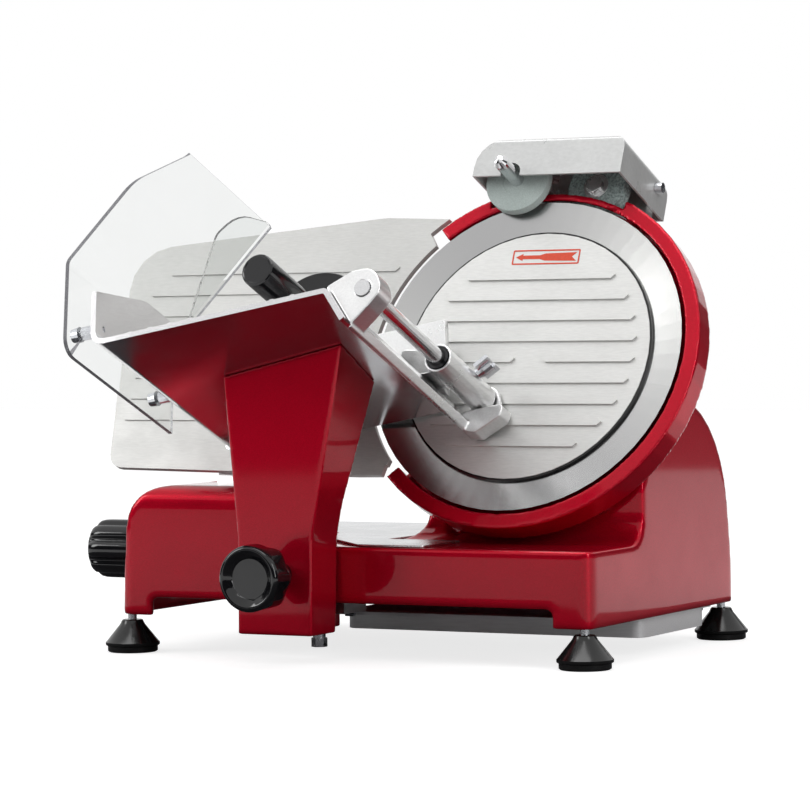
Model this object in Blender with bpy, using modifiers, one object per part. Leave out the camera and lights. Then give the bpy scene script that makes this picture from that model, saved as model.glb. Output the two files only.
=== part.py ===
"""Electric gravity-feed meat slicer with a sliding food carriage, a tilted knife and a thickness gauge.

Metres, +Z up. The carriage slides along X, the operator stands at -Y. The knife leans back from the
operator, and its middle is over the point X = 0, Y = 0 until the last step centres the whole machine.
Three frames carry the pieces: the base frame, the knife frame (x along the carriage, y into the
machine, z up the knife) and the tray frame, which is the knife frame rolled down to the left.
"""

import math

import bmesh
import bpy
from mathutils import Matrix, Vector

# Fits
SEAT = 0.0003
RUNNING_FIT = 0.0004

# Knife and its frame
KNIFE_RADIUS = 0.125
KNIFE_TILT = math.radians(24)
KNIFE_BEVEL = 0.0245
KNIFE_HOLLOW = 0.006
KNIFE_THICKNESS = 0.0085
KNIFE_HOLE = 0.030
KNIFE_EDGE = 0.0004
KNIFE_LAND = 0.0005
KNIFE_DISH = 0.0038
KNIFE_BACK_BEVEL = 0.013

# Cast base
BASE_LEFT = -0.2926
BASE_RIGHT = 0.101
BASE_FRONT = -0.108
BASE_BACK = 0.160
BASE_WALL = 0.005
BASE_DRAFT = 0.009
DECK_HEIGHT = 0.0555
HUMP_HEIGHT = 0.0428
HUMP_RIGHT = -0.168
HUMP_BACK = 0.012
HUMP_DRAFT = 0.0085
SKIRT_HEIGHT = 0.0135
LEG_LEFT_WIDTH = 0.0286
LEG_RIGHT_WIDTH = 0.0305
CORNER_RADIUS = 0.009
PILLAR_LEFT = -0.0755
PILLAR_FRONT = -0.014
PILLAR_BELOW_KNIFE = 0.0332
PILLAR_CROWN = 0.134
PILLAR_ROUND = 0.100
PILLAR_FLARE = 0.020
BOSS_HEIGHT = 0.020
BOSS_HALF = 0.009
LUG_HALF = 0.010
POST_HALF = 0.008

# Feet
FOOT_HEIGHT = 0.0285
FOOT_RADIUS = 0.0190
FOOT_FLARE = 0.0015
FOOT_STUD_RADIUS = 0.0033
FOOT_INSET = 0.0085
FOOT_INSET_LEFT = 0.0060

# Ring guard round the knife
RING_GAP = 0.0025
RING_WALL = 0.0115
RING_CLEARANCE = 0.0122
RING_DEPTH = 0.021
RING_START = math.radians(-134.5)
RING_END = math.radians(131)
RING_WINDOW_LEFT = -0.052
RING_WINDOW_RIGHT = 0.060
RING_WINDOW_DEPTH = 0.0425
DISC_OVERLAP = 0.0035
DISC_THICKNESS = 0.005
DISC_SHY = 0.003
DISC_MARGIN = math.radians(1.5)
LIP_DEPTH = 0.0035
LIP_WIDTH = 0.005
LIP_START = math.radians(61)
LIP_END = math.radians(116)
SOCKET_INSET = 0.0125
SOCKET_DEPTH = 0.035
SOCKET_HALF = 0.016
SPINDLE_BOSS_RADIUS = 0.016
SPINDLE_BOSS_LENGTH = 0.007
RING_BOLT_X = (-0.049, 0.067)
RING_BOLT_RISE = 0.0125
RING_BOLT_DROP = 0.1122
RING_BOLT_RADIUS = 0.0060
RING_BOLT_HEAD = 0.0040
RING_BOLT_SHANK = 0.0038
SPOT_FACE = 0.0005
SPOT_RADIUS = 0.0085

# Drive
PULLEY_RADIUS = 0.050
PULLEY_WIDTH = 0.0115
MOTOR_PULLEY_RADIUS = 0.012
MOTOR_DROP = 0.085
MOTOR_RADIUS = 0.040
MOTOR_START = 0.050
MOTOR_LENGTH = 0.070
SPINDLE_RADIUS = 0.008
BEARING_RADIUS = 0.0175
BELT_THICKNESS = 0.003
BELT_WIDTH = 0.008
SHAFT_RADIUS = 0.005
TIE_RADIUS = 0.003

# Knife cover
COVER_GAP = 0.001
COVER_FRONT = 0.001
COVER_RIB_PITCH = 0.0169
COVER_RIB_WIDTH = 0.0065
COVER_RIB_HEIGHT = 0.0018
COVER_RIB_INSET = 0.010
COVER_RIB_SHIFT = 0.0033
COVER_MIDDLE_LEFT = -0.0085
COVER_MIDDLE_RIGHT = 0.0145
COVER_SEAT = 0.0030
COVER_KNOB_RADIUS = 0.0115
COVER_KNOB_LENGTH = 0.013
COVER_KNOB_BORE = 0.0095

# Thickness gauge
GAUGE_THICKNESS = 0.005
GAUGE_PROUD = 0.001
GAUGE_TRAVEL = 0.013
GAUGE_RIB_PITCH = 0.0178
GAUGE_RIB_WIDTH = 0.0065
GAUGE_RIB_HEIGHT = 0.0012
GAUGE_RIB_COUNT = 8
GAUGE_TOP_RIB = 0.0728
GAUGE_RIB_LEFT = -0.342
GAUGE_TOP_RIB_LEFT = -0.328
GAUGE_RIB_MARGIN = 0.012
GAUGE_LIFT = 0.01102
GAUGE_LEFT_LOW = -0.3445
GAUGE_LEFT_HIGH = -0.3665
GAUGE_LEFT_TOP = 0.0920
GAUGE_RIGHT_X = -0.1400
GAUGE_RIGHT_Z = 0.1155
GAUGE_KNIFE_GAP = 0.0045
GAUGE_RING_GAP = 0.0025
GAUGE_FOOT_STEP = 0.0127
GAUGE_FOOT_REACH = 0.0259
GAUGE_BRACKET_X = -0.2375
GAUGE_BRACKET_HALF = 0.028
GAUGE_BRACKET_HEIGHT = 0.043
GAUGE_BRACKET_SHEET = 0.006
GAUGE_NECK_HALF = 0.0092
GAUGE_NECK_SHEET = 0.008
GAUGE_BLOCK_HALF = 0.0155
GAUGE_BLOCK_RISE = 0.009
GAUGE_BLOCK_NEAR = -0.007
GAUGE_BLOCK_FAR = 0.021
GAUGE_FOLLOWER_RADIUS = 0.0030
GAUGE_FOLLOWER_DROP = 0.005
GAUGE_ROD_RADIUS = 0.005
GAUGE_ROD_RISE = 0.0147
GAUGE_LUG_NEAR = (-0.037, -0.029)
GAUGE_LUG_FAR = (0.037, 0.047)
GAUGE_SLOT_LOW = 0.012
GAUGE_SLOT_HIGH = 0.020
GAUGE_SLOT_HALF = 0.0135
GAUGE_SLOT_NEAR = 0.001
GAUGE_SLOT_FAR = 0.0285
GAUGE_SCREW_RADIUS = 0.0025
GAUGE_SCREW_RISE = 0.0195

# Index knob
INDEX_OFFSET = 0.009
INDEX_Z = 0.076
INDEX_KNOB_RADIUS = 0.0225
INDEX_KNOB_LENGTH = 0.0415
INDEX_SHAFT_RADIUS = 0.005
INDEX_CAM_RADIUS = 0.020
INDEX_CAM_NEAR = 0.0088
INDEX_CAM_FACE = 0.0142
INDEX_KNOB_GAP = 0.004
INDEX_GRIP_DEPTH = 0.0020

# Carriage
ARM_FRONT = -0.150
ARM_LEFT = -0.1636
ARM_RIGHT = -0.1023
ARM_FOOT = 0.0213
ARM_TONGUE = 0.012
ARM_TONGUE_LEFT = -0.1596
ARM_TONGUE_RIGHT = -0.1243
ARM_BACK = -0.113
ARM_THROAT = -0.1095
ARM_THROAT_BELOW_HUMP = 0.0108
ARM_WAIST_BELOW_HUMP = 0.0343
ARM_LEAN = 0.0215
ARM_WIDEN_RIGHT = 0.0335
ARM_WIDEN_LEFT = 0.0150
ARM_WALL = 0.006
ARM_FACE = 0.007
ARM_BOLT_X = -0.1330
ARM_BOLT_RADIUS = 0.0060
ARM_BOLT_HEAD = 0.0068
ARM_BOLT_COLLAR = 0.0070
ARM_BOLT_SHANK = 0.0030
ARM_BOLT_LENGTH = 0.0315
GUIDE_Y = -0.083
GUIDE_Z = 0.050
GUIDE_RADIUS = 0.007
SUPPORT_Y = -0.040
SUPPORT_Z = 0.044
SUPPORT_SIZE = 0.008
LOCK_X = -0.1265
LOCK_Z = 0.066
LOCK_KNOB_RADIUS = 0.0245
LOCK_GRIP_DEPTH = 0.0022
LOCK_KNOB_LENGTH = 0.050
LOCK_RIM = 0.024
LOCK_DISH_RADIUS = 0.0200
LOCK_DISH_DEPTH = 0.0045
LOCK_STUD_RADIUS = 0.004
SLIDE_HALF = 0.017
SLIDE_TOP = 0.016

# Food tray
TRAY_ROLL = math.radians(12)
TRAY_FLOOR = -0.031
TRAY_LEFT = -0.2450
TRAY_RIGHT = -0.0580
TRAY_NEAR = -0.218
TRAY_FAR = -0.003
TRAY_SHEET = 0.004
TRAY_WALL_TOP = 0.033
TRAY_WALL_LOW = 0.008
TRAY_FLANGE_OUT = 0.013
TRAY_FLANGE_DOWN = 0.025
TRAY_RIDGES = 9
TRAY_RIDGE_HEIGHT = 0.0009
TRAY_RIDGE_LEFT = 0.022
TRAY_RIDGE_RIGHT = 0.018

# Hand guard
GUARD_SHEET = 0.003
GUARD_OFFSET = 0.0165
GUARD_NEAR = -0.229
GUARD_FAR = -0.072
GUARD_BOTTOM = -0.041
GUARD_FOLD = 0.032
GUARD_LEAN = math.radians(45)
GUARD_SLANT = 0.118
GUARD_FLANGE_START = 0.0130
GUARD_FLANGE_BEND_OUT = 0.0370
GUARD_FLANGE_BEND_UP = 0.0880
GUARD_FLANGE_TIP_OUT = 0.0560
GUARD_FLANGE_TIP_UP = 0.1010
GUARD_CHAMFER = 0.030
GUARD_SCREWS = [(-0.206, -0.017), (-0.092, -0.020)]

# Rod bracket
LUG_NEAR = -0.212
LUG_FAR = -0.193
LUG_BOTTOM = -0.0610
LUG_RISE = 0.0155
LUG_REACH_LEFT = 0.0080
LUG_REACH_RIGHT = 0.0150
LUG_TOP_RIGHT = 0.0090
LUG_CHIN = 0.0140
STRIP_BOTTOM = -0.0620
STRIP_SIDE = -0.0560
STRIP_TOP = -0.0500
CRADLE_NEAR = -0.0200
CRADLE_BOTTOM = -0.0655
CRADLE_RIGHT = 0.0220
END_NEAR = -0.0075
END_FAR = -0.0035
END_HALF = 0.0110

# Food pusher
ROD_U = -0.0317
ROD_W = -0.0347
ROD_RADIUS = 0.006
BUSH_RADIUS = 0.0088
HUB_RADIUS = 0.011
HUB_NEAR = -0.089
HUB_FAR = -0.0096
PLATE_LEFT = -0.168
PLATE_RIGHT = -0.052
PLATE_NEAR = -0.030
PLATE_THICKNESS = 0.005
PLATE_TEETH = 12
PLATE_TOOTH_DEPTH = 0.012
HANDLE_U = -0.1135
HANDLE_W = -0.0025
HANDLE_RADIUS = 0.0125
HANDLE_NEAR = -0.215
HANDLE_FAR = -0.1215
SHIELD_RADIUS = 0.040
STEM_RADIUS = 0.006
WEB_NEAR = -0.058
WING_Y = -0.040
WING_LEAN = math.radians(30)
WING_REACH = 0.0150

# Sharpener
SHARP_LEFT = -0.0592
SHARP_RIGHT = 0.0640
SHARP_RISE = 0.012
SHARP_HEIGHT = 0.031
SHARP_NEAR = -0.025
SHARP_FAR = 0.063
SHARP_SHEET = 0.002
DEBURR_RADIUS = 0.026
DEBURR_X = -0.0275
DEBURR_RISE = 0.0145
DEBURR_PIN_RADIUS = 0.0057
GRIND_RADIUS = 0.0235
GRIND_X = 0.0300
GRIND_RISE = 0.0165
GRIND_PIN_RADIUS = 0.005
POST_Y = 0.044
POST_RADIUS = 0.007
POST_LENGTH = 0.060
SHARP_SCREW_DROP = 0.0135
SHARP_SCREW_Y = 0.040
NOTCH_HALF = 0.008
CARRIER_HALF = 0.014
CARRIER_BACK = 0.008
BRIDGE_INSET = 0.0075
BRIDGE_LOW = 0.007
BRIDGE_TOP = 0.010

# Bottom cover
PAN_LEFT = -0.155
PAN_RIGHT = 0.0945
PAN_FRONT = -0.003
PAN_BACK = 0.117
PAN_DROP = 0.0145
PAN_SHEET = 0.0012
PAN_RIM = 0.015
PAN_POSTS = [(-0.146, -0.011), (0.084, 0.125)]
PAN_SCREW_HOLE = 0.0024

# Receiving tray
DISH_SHEET = 0.0015
DISH_NARROW_LEFT = -0.088
DISH_NARROW_RIGHT = -0.034

# Switch plate and cable inlet
SWITCH_Y = 0.066
SWITCH_Z = 0.055
SWITCH_HALF_WIDTH = 0.0170
SWITCH_HALF_HEIGHT = 0.0300
SWITCH_SHEET = 0.0030
BUTTON_RADIUS = 0.008
BUTTON_ROWS = (-0.014, 0.014)
GLAND_X = -0.060
GLAND_Z = 0.056
GLAND_THREAD = 0.008
GLAND_BORE = 0.0045
GLAND_RADIUS = 0.0120
GLAND_LENGTH = 0.018

# Worked out from the sizes above
BASE_BOTTOM = FOOT_HEIGHT
DECK_TOP = BASE_BOTTOM + DECK_HEIGHT
HUMP_TOP = DECK_TOP + HUMP_HEIGHT
RING_INNER = KNIFE_RADIUS + RING_GAP
RING_OUTER = RING_INNER + RING_WALL
DISC_RADIUS = RING_INNER + DISC_OVERLAP
DISC_BACK = RING_DEPTH + DISC_THICKNESS
KNIFE_HEIGHT = DECK_TOP + RING_OUTER * math.cos(KNIFE_TILT) + RING_CLEARANCE
KNIFE_ROOT = KNIFE_RADIUS - KNIFE_BEVEL + KNIFE_LAND
PILLAR_TOP = KNIFE_HEIGHT - PILLAR_BELOW_KNIFE
RING_BOLT_Z = (DECK_TOP + RING_BOLT_RISE, KNIFE_HEIGHT - RING_BOLT_DROP)
RING_BOLTS = list(zip(RING_BOLT_X, RING_BOLT_Z))
COVER_RADIUS = KNIFE_RADIUS - KNIFE_BEVEL - COVER_GAP
COVER_RIB_REACH = COVER_RADIUS - COVER_RIB_INSET
COVER_BACK = KNIFE_HOLLOW - KNIFE_LAND
ROOF_LINE = (HUMP_TOP - KNIFE_HEIGHT) / math.cos(KNIFE_TILT)
GAUGE_BACK = GAUGE_THICKNESS - GAUGE_PROUD
GAUGE_BOTTOM = ROOF_LINE + GAUGE_LIFT
GAUGE_SCREW_Z = GAUGE_BOTTOM + GAUGE_SCREW_RISE
GAUGE_ROD_DROP = (KNIFE_HEIGHT - INDEX_Z - GAUGE_ROD_RISE) / math.cos(KNIFE_TILT)
INDEX_Y = -(GAUGE_ROD_DROP + GAUGE_FOLLOWER_DROP) * math.sin(KNIFE_TILT) - INDEX_OFFSET
INDEX_WALL_X = BASE_LEFT + HUMP_DRAFT * (INDEX_Z - BASE_BOTTOM) / (HUMP_TOP - BASE_BOTTOM)
INDEX_FACE_X = INDEX_WALL_X + INDEX_CAM_FACE
ARM_WAIST = HUMP_TOP - ARM_WAIST_BELOW_HUMP
ARM_THROAT_HEIGHT = HUMP_TOP - ARM_THROAT_BELOW_HUMP
PULLEY_START = KNIFE_THICKNESS + SEAT
GUARD_U = TRAY_LEFT - GUARD_OFFSET
SHARP_BOTTOM = KNIFE_RADIUS + SHARP_RISE
SHARP_TOP = SHARP_BOTTOM + SHARP_HEIGHT
SHARP_SCREW_Z = SHARP_TOP - SHARP_SCREW_DROP
DEBURR_Z = KNIFE_RADIUS + DEBURR_RISE
GRIND_Z = KNIFE_RADIUS + GRIND_RISE
SOCKET_TOP = RING_INNER - SOCKET_INSET
SWITCH_X = BASE_LEFT + HUMP_DRAFT * (SWITCH_Z - BASE_BOTTOM) / (HUMP_TOP - BASE_BOTTOM)
WALL_LEAN = math.atan(HUMP_DRAFT / (HUMP_TOP - BASE_BOTTOM))

FRONT_VIEW = Matrix(((1, 0, 0), (0, 0, -1), (0, 1, 0)))
SIDE_VIEW = Matrix(((0, 0, 1), (1, 0, 0), (0, 1, 0)))
PLAN_VIEW = Matrix.Identity(3)
TOWARDS = {
    "up": (0, 0, 0),
    "down": (math.pi, 0, 0),
    "front": (math.pi / 2, 0, 0),
    "back": (-math.pi / 2, 0, 0),
    "right": (0, math.pi / 2, 0),
    "left": (0, -math.pi / 2, 0),
}

for leftover in list(bpy.data.objects):
    bpy.data.objects.remove(leftover, do_unlink=True)

PARTS = bpy.data.collections.new("meat_slicer")
CUTTERS = bpy.data.collections.new("cutters")
bpy.context.scene.collection.children.link(PARTS)
bpy.context.scene.collection.children.link(CUTTERS)


def paint(name, colour, roughness, metallic=0.0, clear=0.0):
    material = bpy.data.materials.new(name)
    material.use_nodes = True
    shader = material.node_tree.nodes["Principled BSDF"]
    shader.inputs["Base Color"].default_value = (*colour, 1)
    shader.inputs["Roughness"].default_value = roughness
    shader.inputs["Metallic"].default_value = metallic
    shader.inputs["Transmission Weight"].default_value = clear
    return material


RED = paint("red lacquer", (0.42, 0.006, 0.02), 0.28, 0.35)
STEEL = paint("polished steel", (0.62, 0.63, 0.65), 0.25, 1.0)
ALUMINIUM = paint("brushed aluminium", (0.80, 0.80, 0.80), 0.38, 1.0)
SHEET = paint("stainless sheet", (0.66, 0.67, 0.68), 0.30, 1.0)
IVORY = paint("light enamel", (0.80, 0.79, 0.76), 0.40)
BLACK = paint("black plastic", (0.015, 0.015, 0.017), 0.30)
RUBBER = paint("black rubber", (0.02, 0.02, 0.02), 0.65)
CLEAR = paint("clear polycarbonate", (0.92, 0.94, 0.95), 0.05, 0.0, 0.9)
STONE = paint("grey grinding stone", (0.35, 0.38, 0.38), 0.90)
COPPER = paint("motor iron", (0.16, 0.17, 0.18), 0.55, 0.6)
GREEN = paint("green button", (0.03, 0.35, 0.10), 0.35)
RED_BUTTON = paint("red button", (0.60, 0.02, 0.02), 0.35)


def frame(name, parent=None, location=(0, 0, 0), turn=None):
    empty = bpy.data.objects.new(name, None)
    empty.parent = parent
    empty.location = location
    if turn is not None:
        empty.rotation_euler = turn.to_euler()
    PARTS.objects.link(empty)
    bpy.context.view_layer.update()
    return empty


def add(name, mesh, parent, material=None, location=(0, 0, 0), rotation=(0, 0, 0)):
    """A part when it has a material, a cutter when it has none."""
    part = bpy.data.objects.new(name, mesh)
    part.parent = parent
    part.location = location
    part.rotation_euler = rotation
    if material:
        mesh.materials.append(material)
        PARTS.objects.link(part)
    else:
        CUTTERS.objects.link(part)
        part.hide_render = True
        part.display_type = "WIRE"
    bpy.context.view_layer.update()
    return part


def rounded(corners, steps=5):
    """The outline through corners (a, b) or (a, b, radius), with an arc at each corner that has a radius."""
    points = []
    for i, corner in enumerate(corners):
        here = Vector(corner[:2])
        radius = corner[2] if len(corner) > 2 else 0
        if radius == 0:
            points.append(here)
            continue
        before = (Vector(corners[i - 1][:2]) - here).normalized()
        after = (Vector(corners[(i + 1) % len(corners)][:2]) - here).normalized()
        half = before.angle(after) / 2
        middle = here + (before + after).normalized() * radius / math.sin(half)
        start = here + before * radius / math.tan(half) - middle
        sweep = start.angle_signed(here + after * radius / math.tan(half) - middle)
        for k in range(steps + 1):
            points.append(middle + Matrix.Rotation(-sweep * k / steps, 2) @ start)
    return points


def arc(radius, start, end, steps, centre=(0, 0)):
    angles = [start + (end - start) * k / steps for k in range(steps + 1)]
    return [Vector((centre[0] + radius * math.cos(a), centre[1] + radius * math.sin(a))) for a in angles]


def circle(radius, steps, centre=(0, 0)):
    return arc(radius, 0, 2 * math.pi * (steps - 1) / steps, steps - 1, centre)


def prism_mesh(name, outlines, start, end, view):
    """A flat curve with thickness, turned into a mesh. Outlines after the first are holes."""
    curve = bpy.data.curves.new(name, "CURVE")
    curve.dimensions = "2D"
    curve.fill_mode = "BOTH"
    curve.extrude = abs(end - start) / 2
    for outline in outlines:
        spline = curve.splines.new("POLY")
        spline.points.add(len(outline) - 1)
        for point, place in zip(spline.points, outline):
            point.co = (place[0], place[1], 0, 1)
        spline.use_cyclic_u = True
    guide = bpy.data.objects.new(name, curve)
    CUTTERS.objects.link(guide)
    bpy.context.view_layer.update()
    mesh = bpy.data.meshes.new_from_object(guide.evaluated_get(bpy.context.evaluated_depsgraph_get()))
    bpy.data.objects.remove(guide)
    mesh.name = name
    shape = bmesh.new()
    shape.from_mesh(mesh)
    bmesh.ops.remove_doubles(shape, verts=shape.verts, dist=0.000005)
    bmesh.ops.dissolve_limit(shape, angle_limit=0.01, verts=shape.verts, edges=shape.edges)
    bmesh.ops.recalc_face_normals(shape, faces=shape.faces)
    shape.to_mesh(mesh)
    shape.free()
    along = view @ Vector((0, 0, 1))
    middle = (start + end) / 2 * Vector([abs(value) for value in along])
    mesh.transform(Matrix.Translation(middle) @ view.to_4x4())
    return mesh


def prism(name, outline, start, end, view, parent, material=None, holes=()):
    mesh = prism_mesh(name, [outline, *holes], start, end, view)
    return add(name, mesh, parent, material)


def box(name, low, high, parent, material=None):
    mesh = bpy.data.meshes.new(name)
    shape = bmesh.new()
    bmesh.ops.create_cube(shape, size=1)
    size = Vector(high) - Vector(low)
    middle = (Vector(high) + Vector(low)) / 2
    shape.transform(Matrix.Translation(middle) @ Matrix.Diagonal((*size, 1)))
    shape.to_mesh(mesh)
    shape.free()
    return add(name, mesh, parent, material)


def cylinder(name, radius, length, place, towards, parent, material=None, segments=24):
    """A cylinder that starts at place and runs towards one side."""
    mesh = bpy.data.meshes.new(name)
    shape = bmesh.new()
    bmesh.ops.create_cone(
        shape, cap_ends=True, segments=segments, radius1=radius, radius2=radius, depth=length
    )
    bmesh.ops.translate(shape, verts=shape.verts, vec=(0, 0, length / 2))
    for face in shape.faces:
        face.smooth = len(face.verts) == 4
    shape.to_mesh(mesh)
    shape.free()
    return add(name, mesh, parent, material, place, TOWARDS[towards])


def turned(name, profile, place, towards, parent, material=None, segments=32):
    """A profile of (radius, height) from top to bottom, spun about the line through place."""
    closed = profile[0][0] > 0
    mesh = bpy.data.meshes.new(name)
    shape = bmesh.new()
    ring = [shape.verts.new((radius, 0, height)) for radius, height in profile]
    for a, b in zip(ring, ring[1:] + ring[:1] if closed else ring[1:]):
        shape.edges.new((a, b))
    shape.to_mesh(mesh)
    shape.free()
    part = add(name, mesh, parent, material, place, TOWARDS[towards])
    spin = part.modifiers.new("spin", "SCREW")
    spin.axis = "Z"
    spin.steps = segments
    spin.render_steps = segments
    spin.use_merge_vertices = True
    spin.merge_threshold = 0.00001
    return part


def combine(target, tool, operation):
    modifier = target.modifiers.new(tool.name, "BOOLEAN")
    modifier.operation = operation
    modifier.object = tool
    modifier.solver = "EXACT"
    return target


def cut(target, tool):
    return combine(target, tool, "DIFFERENCE")


def join(target, tool):
    return combine(target, tool, "UNION")


def keep_common(target, tool):
    return combine(target, tool, "INTERSECT")


def drill(target, radius, length, place, towards, parent, segments=16):
    """A round hole that starts at place and runs towards one side."""
    name = f"{target.name} hole {len(target.modifiers)}"
    return cut(target, cylinder(name, radius, length, place, towards, parent, None, segments))


def lobed(radius, depth, lobes, steps):
    """The outline of a knob with rounded grips."""
    points = []
    for k in range(steps):
        angle = 2 * math.pi * k / steps
        reach = radius - depth * (1 - math.cos(lobes * angle)) / 2
        points.append(Vector((reach * math.cos(angle), reach * math.sin(angle))))
    return points


slicer = frame("slicer")
knife_frame = frame("knife_frame", slicer, (0, 0, KNIFE_HEIGHT), Matrix.Rotation(-KNIFE_TILT, 3, "X"))
carriage = frame("carriage", slicer)
tray_turn = Matrix.Rotation(-KNIFE_TILT, 3, "X") @ Matrix.Rotation(-TRAY_ROLL, 3, "Y")
tray_frame = frame("tray_frame", carriage, (0, 0, KNIFE_HEIGHT), tray_turn)
pusher_frame = frame("pusher_frame", tray_frame, (ROD_U, 0, ROD_W))
sharpener_frame = frame("sharpener_head", knife_frame)
switch_turn = Matrix.Rotation(WALL_LEAN, 3, "Y")
switch_frame = frame("switch_frame", slicer, (SWITCH_X, SWITCH_Y, SWITCH_Z), switch_turn)


def slope_height(y):
    """The height at which the back of the ring guard passes over a line at depth y."""
    return KNIFE_HEIGHT - (DISC_BACK + SEAT - y * math.cos(KNIFE_TILT)) / math.sin(KNIFE_TILT)


def base_form(name, inset, material=None):
    """The outer form of the base, or with an inset the hollow inside it, open at the bottom."""
    bottom = BASE_BOTTOM - (0.010 if inset else 0)
    left = BASE_LEFT + inset
    right = BASE_RIGHT - inset
    front = BASE_FRONT + inset
    back = BASE_BACK - inset
    deck = DECK_TOP - inset
    hump = HUMP_TOP - inset
    top = PILLAR_TOP - inset
    face = PILLAR_FRONT + inset
    slope = inset / math.cos(KNIFE_TILT)
    low_corner = slope_height(face - slope)
    high_corner = (DISC_BACK + SEAT - (KNIFE_HEIGHT - top) * math.sin(KNIFE_TILT)) / math.cos(KNIFE_TILT)
    low_side = [(front, bottom), (back, bottom), (back - BASE_DRAFT, deck), (front, deck)]
    form = prism(name, low_side, left, right, SIDE_VIEW, slicer, material)
    hump_side = rounded(
        [
            (front, bottom + 0.02),
            (HUMP_BACK - inset, bottom + 0.02),
            (HUMP_BACK - inset, hump, 0.010 - inset / 2),
            (front, hump, 0.013 - inset / 2),
        ],
        4,
    )
    hump_right = HUMP_RIGHT - inset
    join(form, prism(name + " hump", hump_side, left, hump_right, SIDE_VIEW, slicer))
    pillar_side = rounded(
        [
            (face - PILLAR_FLARE - 0.003, deck - 0.004),
            (face - PILLAR_FLARE - 0.003, deck),
            (face, deck, 0.0 if inset else PILLAR_FLARE),
            (face, low_corner),
            (high_corner + slope, top),
            (PILLAR_CROWN - inset, top, PILLAR_ROUND - inset),
            (back, bottom + 0.001),
            (face, bottom + 0.001),
        ],
        8,
    )
    flare = 0 if inset else PILLAR_FLARE
    pillar_left = PILLAR_LEFT + inset
    join(form, prism(name + " pillar", pillar_side, pillar_left - flare, right, SIDE_VIEW, slicer))
    front_outline = rounded(
        [
            (left, bottom),
            (right, bottom),
            (right, top + 0.02),
            (pillar_left, top + 0.02),
            (pillar_left, deck, flare),
            (hump_right, deck),
            (hump_right, hump, 0.016 - inset),
            (left + HUMP_DRAFT, hump, 0.034 - inset),
        ],
        6,
    )
    keep_common(form, prism(name + " front", front_outline, front - 0.02, back + 0.02, FRONT_VIEW, slicer))
    return form


def base_casting():
    casting = base_form("base_casting", 0, RED)
    corners = [
        (BASE_LEFT, BASE_FRONT, CORNER_RADIUS),
        (BASE_RIGHT, BASE_FRONT, CORNER_RADIUS),
        (BASE_RIGHT, BASE_BACK, CORNER_RADIUS),
        (BASE_LEFT, BASE_BACK, CORNER_RADIUS),
    ]
    keep_common(casting, prism("base plan", rounded(corners, 4), 0, 0.3, PLAN_VIEW, slicer))
    cut(casting, base_form("base hollow", BASE_WALL))
    skirt = rounded(
        [
            (BASE_LEFT + LEG_LEFT_WIDTH, BASE_BOTTOM - 0.01),
            (BASE_RIGHT - LEG_RIGHT_WIDTH, BASE_BOTTOM - 0.01),
            (BASE_RIGHT - LEG_RIGHT_WIDTH, BASE_BOTTOM + SKIRT_HEIGHT, 0.004),
            (BASE_LEFT + LEG_LEFT_WIDTH, BASE_BOTTOM + SKIRT_HEIGHT, 0.003),
        ],
        3,
    )
    wall_back = BASE_FRONT + BASE_WALL + 0.004
    cut(casting, prism("skirt", skirt, BASE_FRONT - 0.01, wall_back, FRONT_VIEW, slicer))
    for name, x, y in foot_places():
        side = 1 if x > 0 else -1
        depth = 1 if y > 0 else -1
        outer_x = x + side * ((FOOT_INSET if x > 0 else FOOT_INSET_LEFT) - BASE_WALL / 2)
        outer_y = y + depth * (FOOT_INSET - BASE_WALL / 2)
        inner_x = x - side * BOSS_HALF
        inner_y = y - depth * BOSS_HALF
        low = (min(outer_x, inner_x), min(outer_y, inner_y), BASE_BOTTOM)
        high = (max(outer_x, inner_x), max(outer_y, inner_y), BASE_BOTTOM + BOSS_HEIGHT)
        join(casting, box(name + " boss", low, high, slicer))
        drill(casting, FOOT_STUD_RADIUS + RUNNING_FIT, 0.013, (x, y, BASE_BOTTOM - 0.001), "up", slicer)
    add_guide_seats(casting)
    add_pan_posts(casting)
    for side in (-1, 1):
        low = (min(side * 0.024, side * 0.036), DISC_BACK + 0.003, -MOTOR_DROP - 0.006)
        high = (max(side * 0.024, side * 0.036), MOTOR_START - SEAT, -MOTOR_DROP + 0.018)
        join(casting, box("motor pad", low, high, knife_frame))
    for x, z in RING_BOLTS:
        spot = (x, PILLAR_FRONT + SPOT_FACE - PILLAR_FLARE, z)
        drill(casting, SPOT_RADIUS, PILLAR_FLARE, spot, "back", slicer, 20)
        hole = RING_BOLT_SHANK + SEAT + 0.0002
        drill(casting, hole, 0.016, (x, PILLAR_FRONT - 0.004, z), "back", slicer)
    drill(casting, SHAFT_RADIUS + 0.004, 0.020, (0, RING_DEPTH, -MOTOR_DROP), "back", knife_frame)
    start = (BASE_LEFT - 0.004, INDEX_Y, INDEX_Z)
    drill(casting, INDEX_SHAFT_RADIUS + RUNNING_FIT, 0.020, start, "right", slicer, 24)
    drill(casting, GLAND_THREAD + RUNNING_FIT, 0.020, (GLAND_X, BASE_BACK + 0.004, GLAND_Z), "front", slicer)
    slot_low = (GAUGE_BRACKET_X - GAUGE_SLOT_HALF, GAUGE_SLOT_NEAR, ROOF_LINE - GAUGE_SLOT_LOW)
    slot_high = (GAUGE_BRACKET_X + GAUGE_SLOT_HALF, GAUGE_SLOT_FAR, ROOF_LINE + GAUGE_SLOT_HIGH)
    cut(casting, box("gauge slot", slot_low, slot_high, knife_frame))
    for y in BUTTON_ROWS:
        drill(casting, BUTTON_RADIUS + 0.001, 0.02, (-0.010, -y, 0), "right", switch_frame)
    return casting


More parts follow.
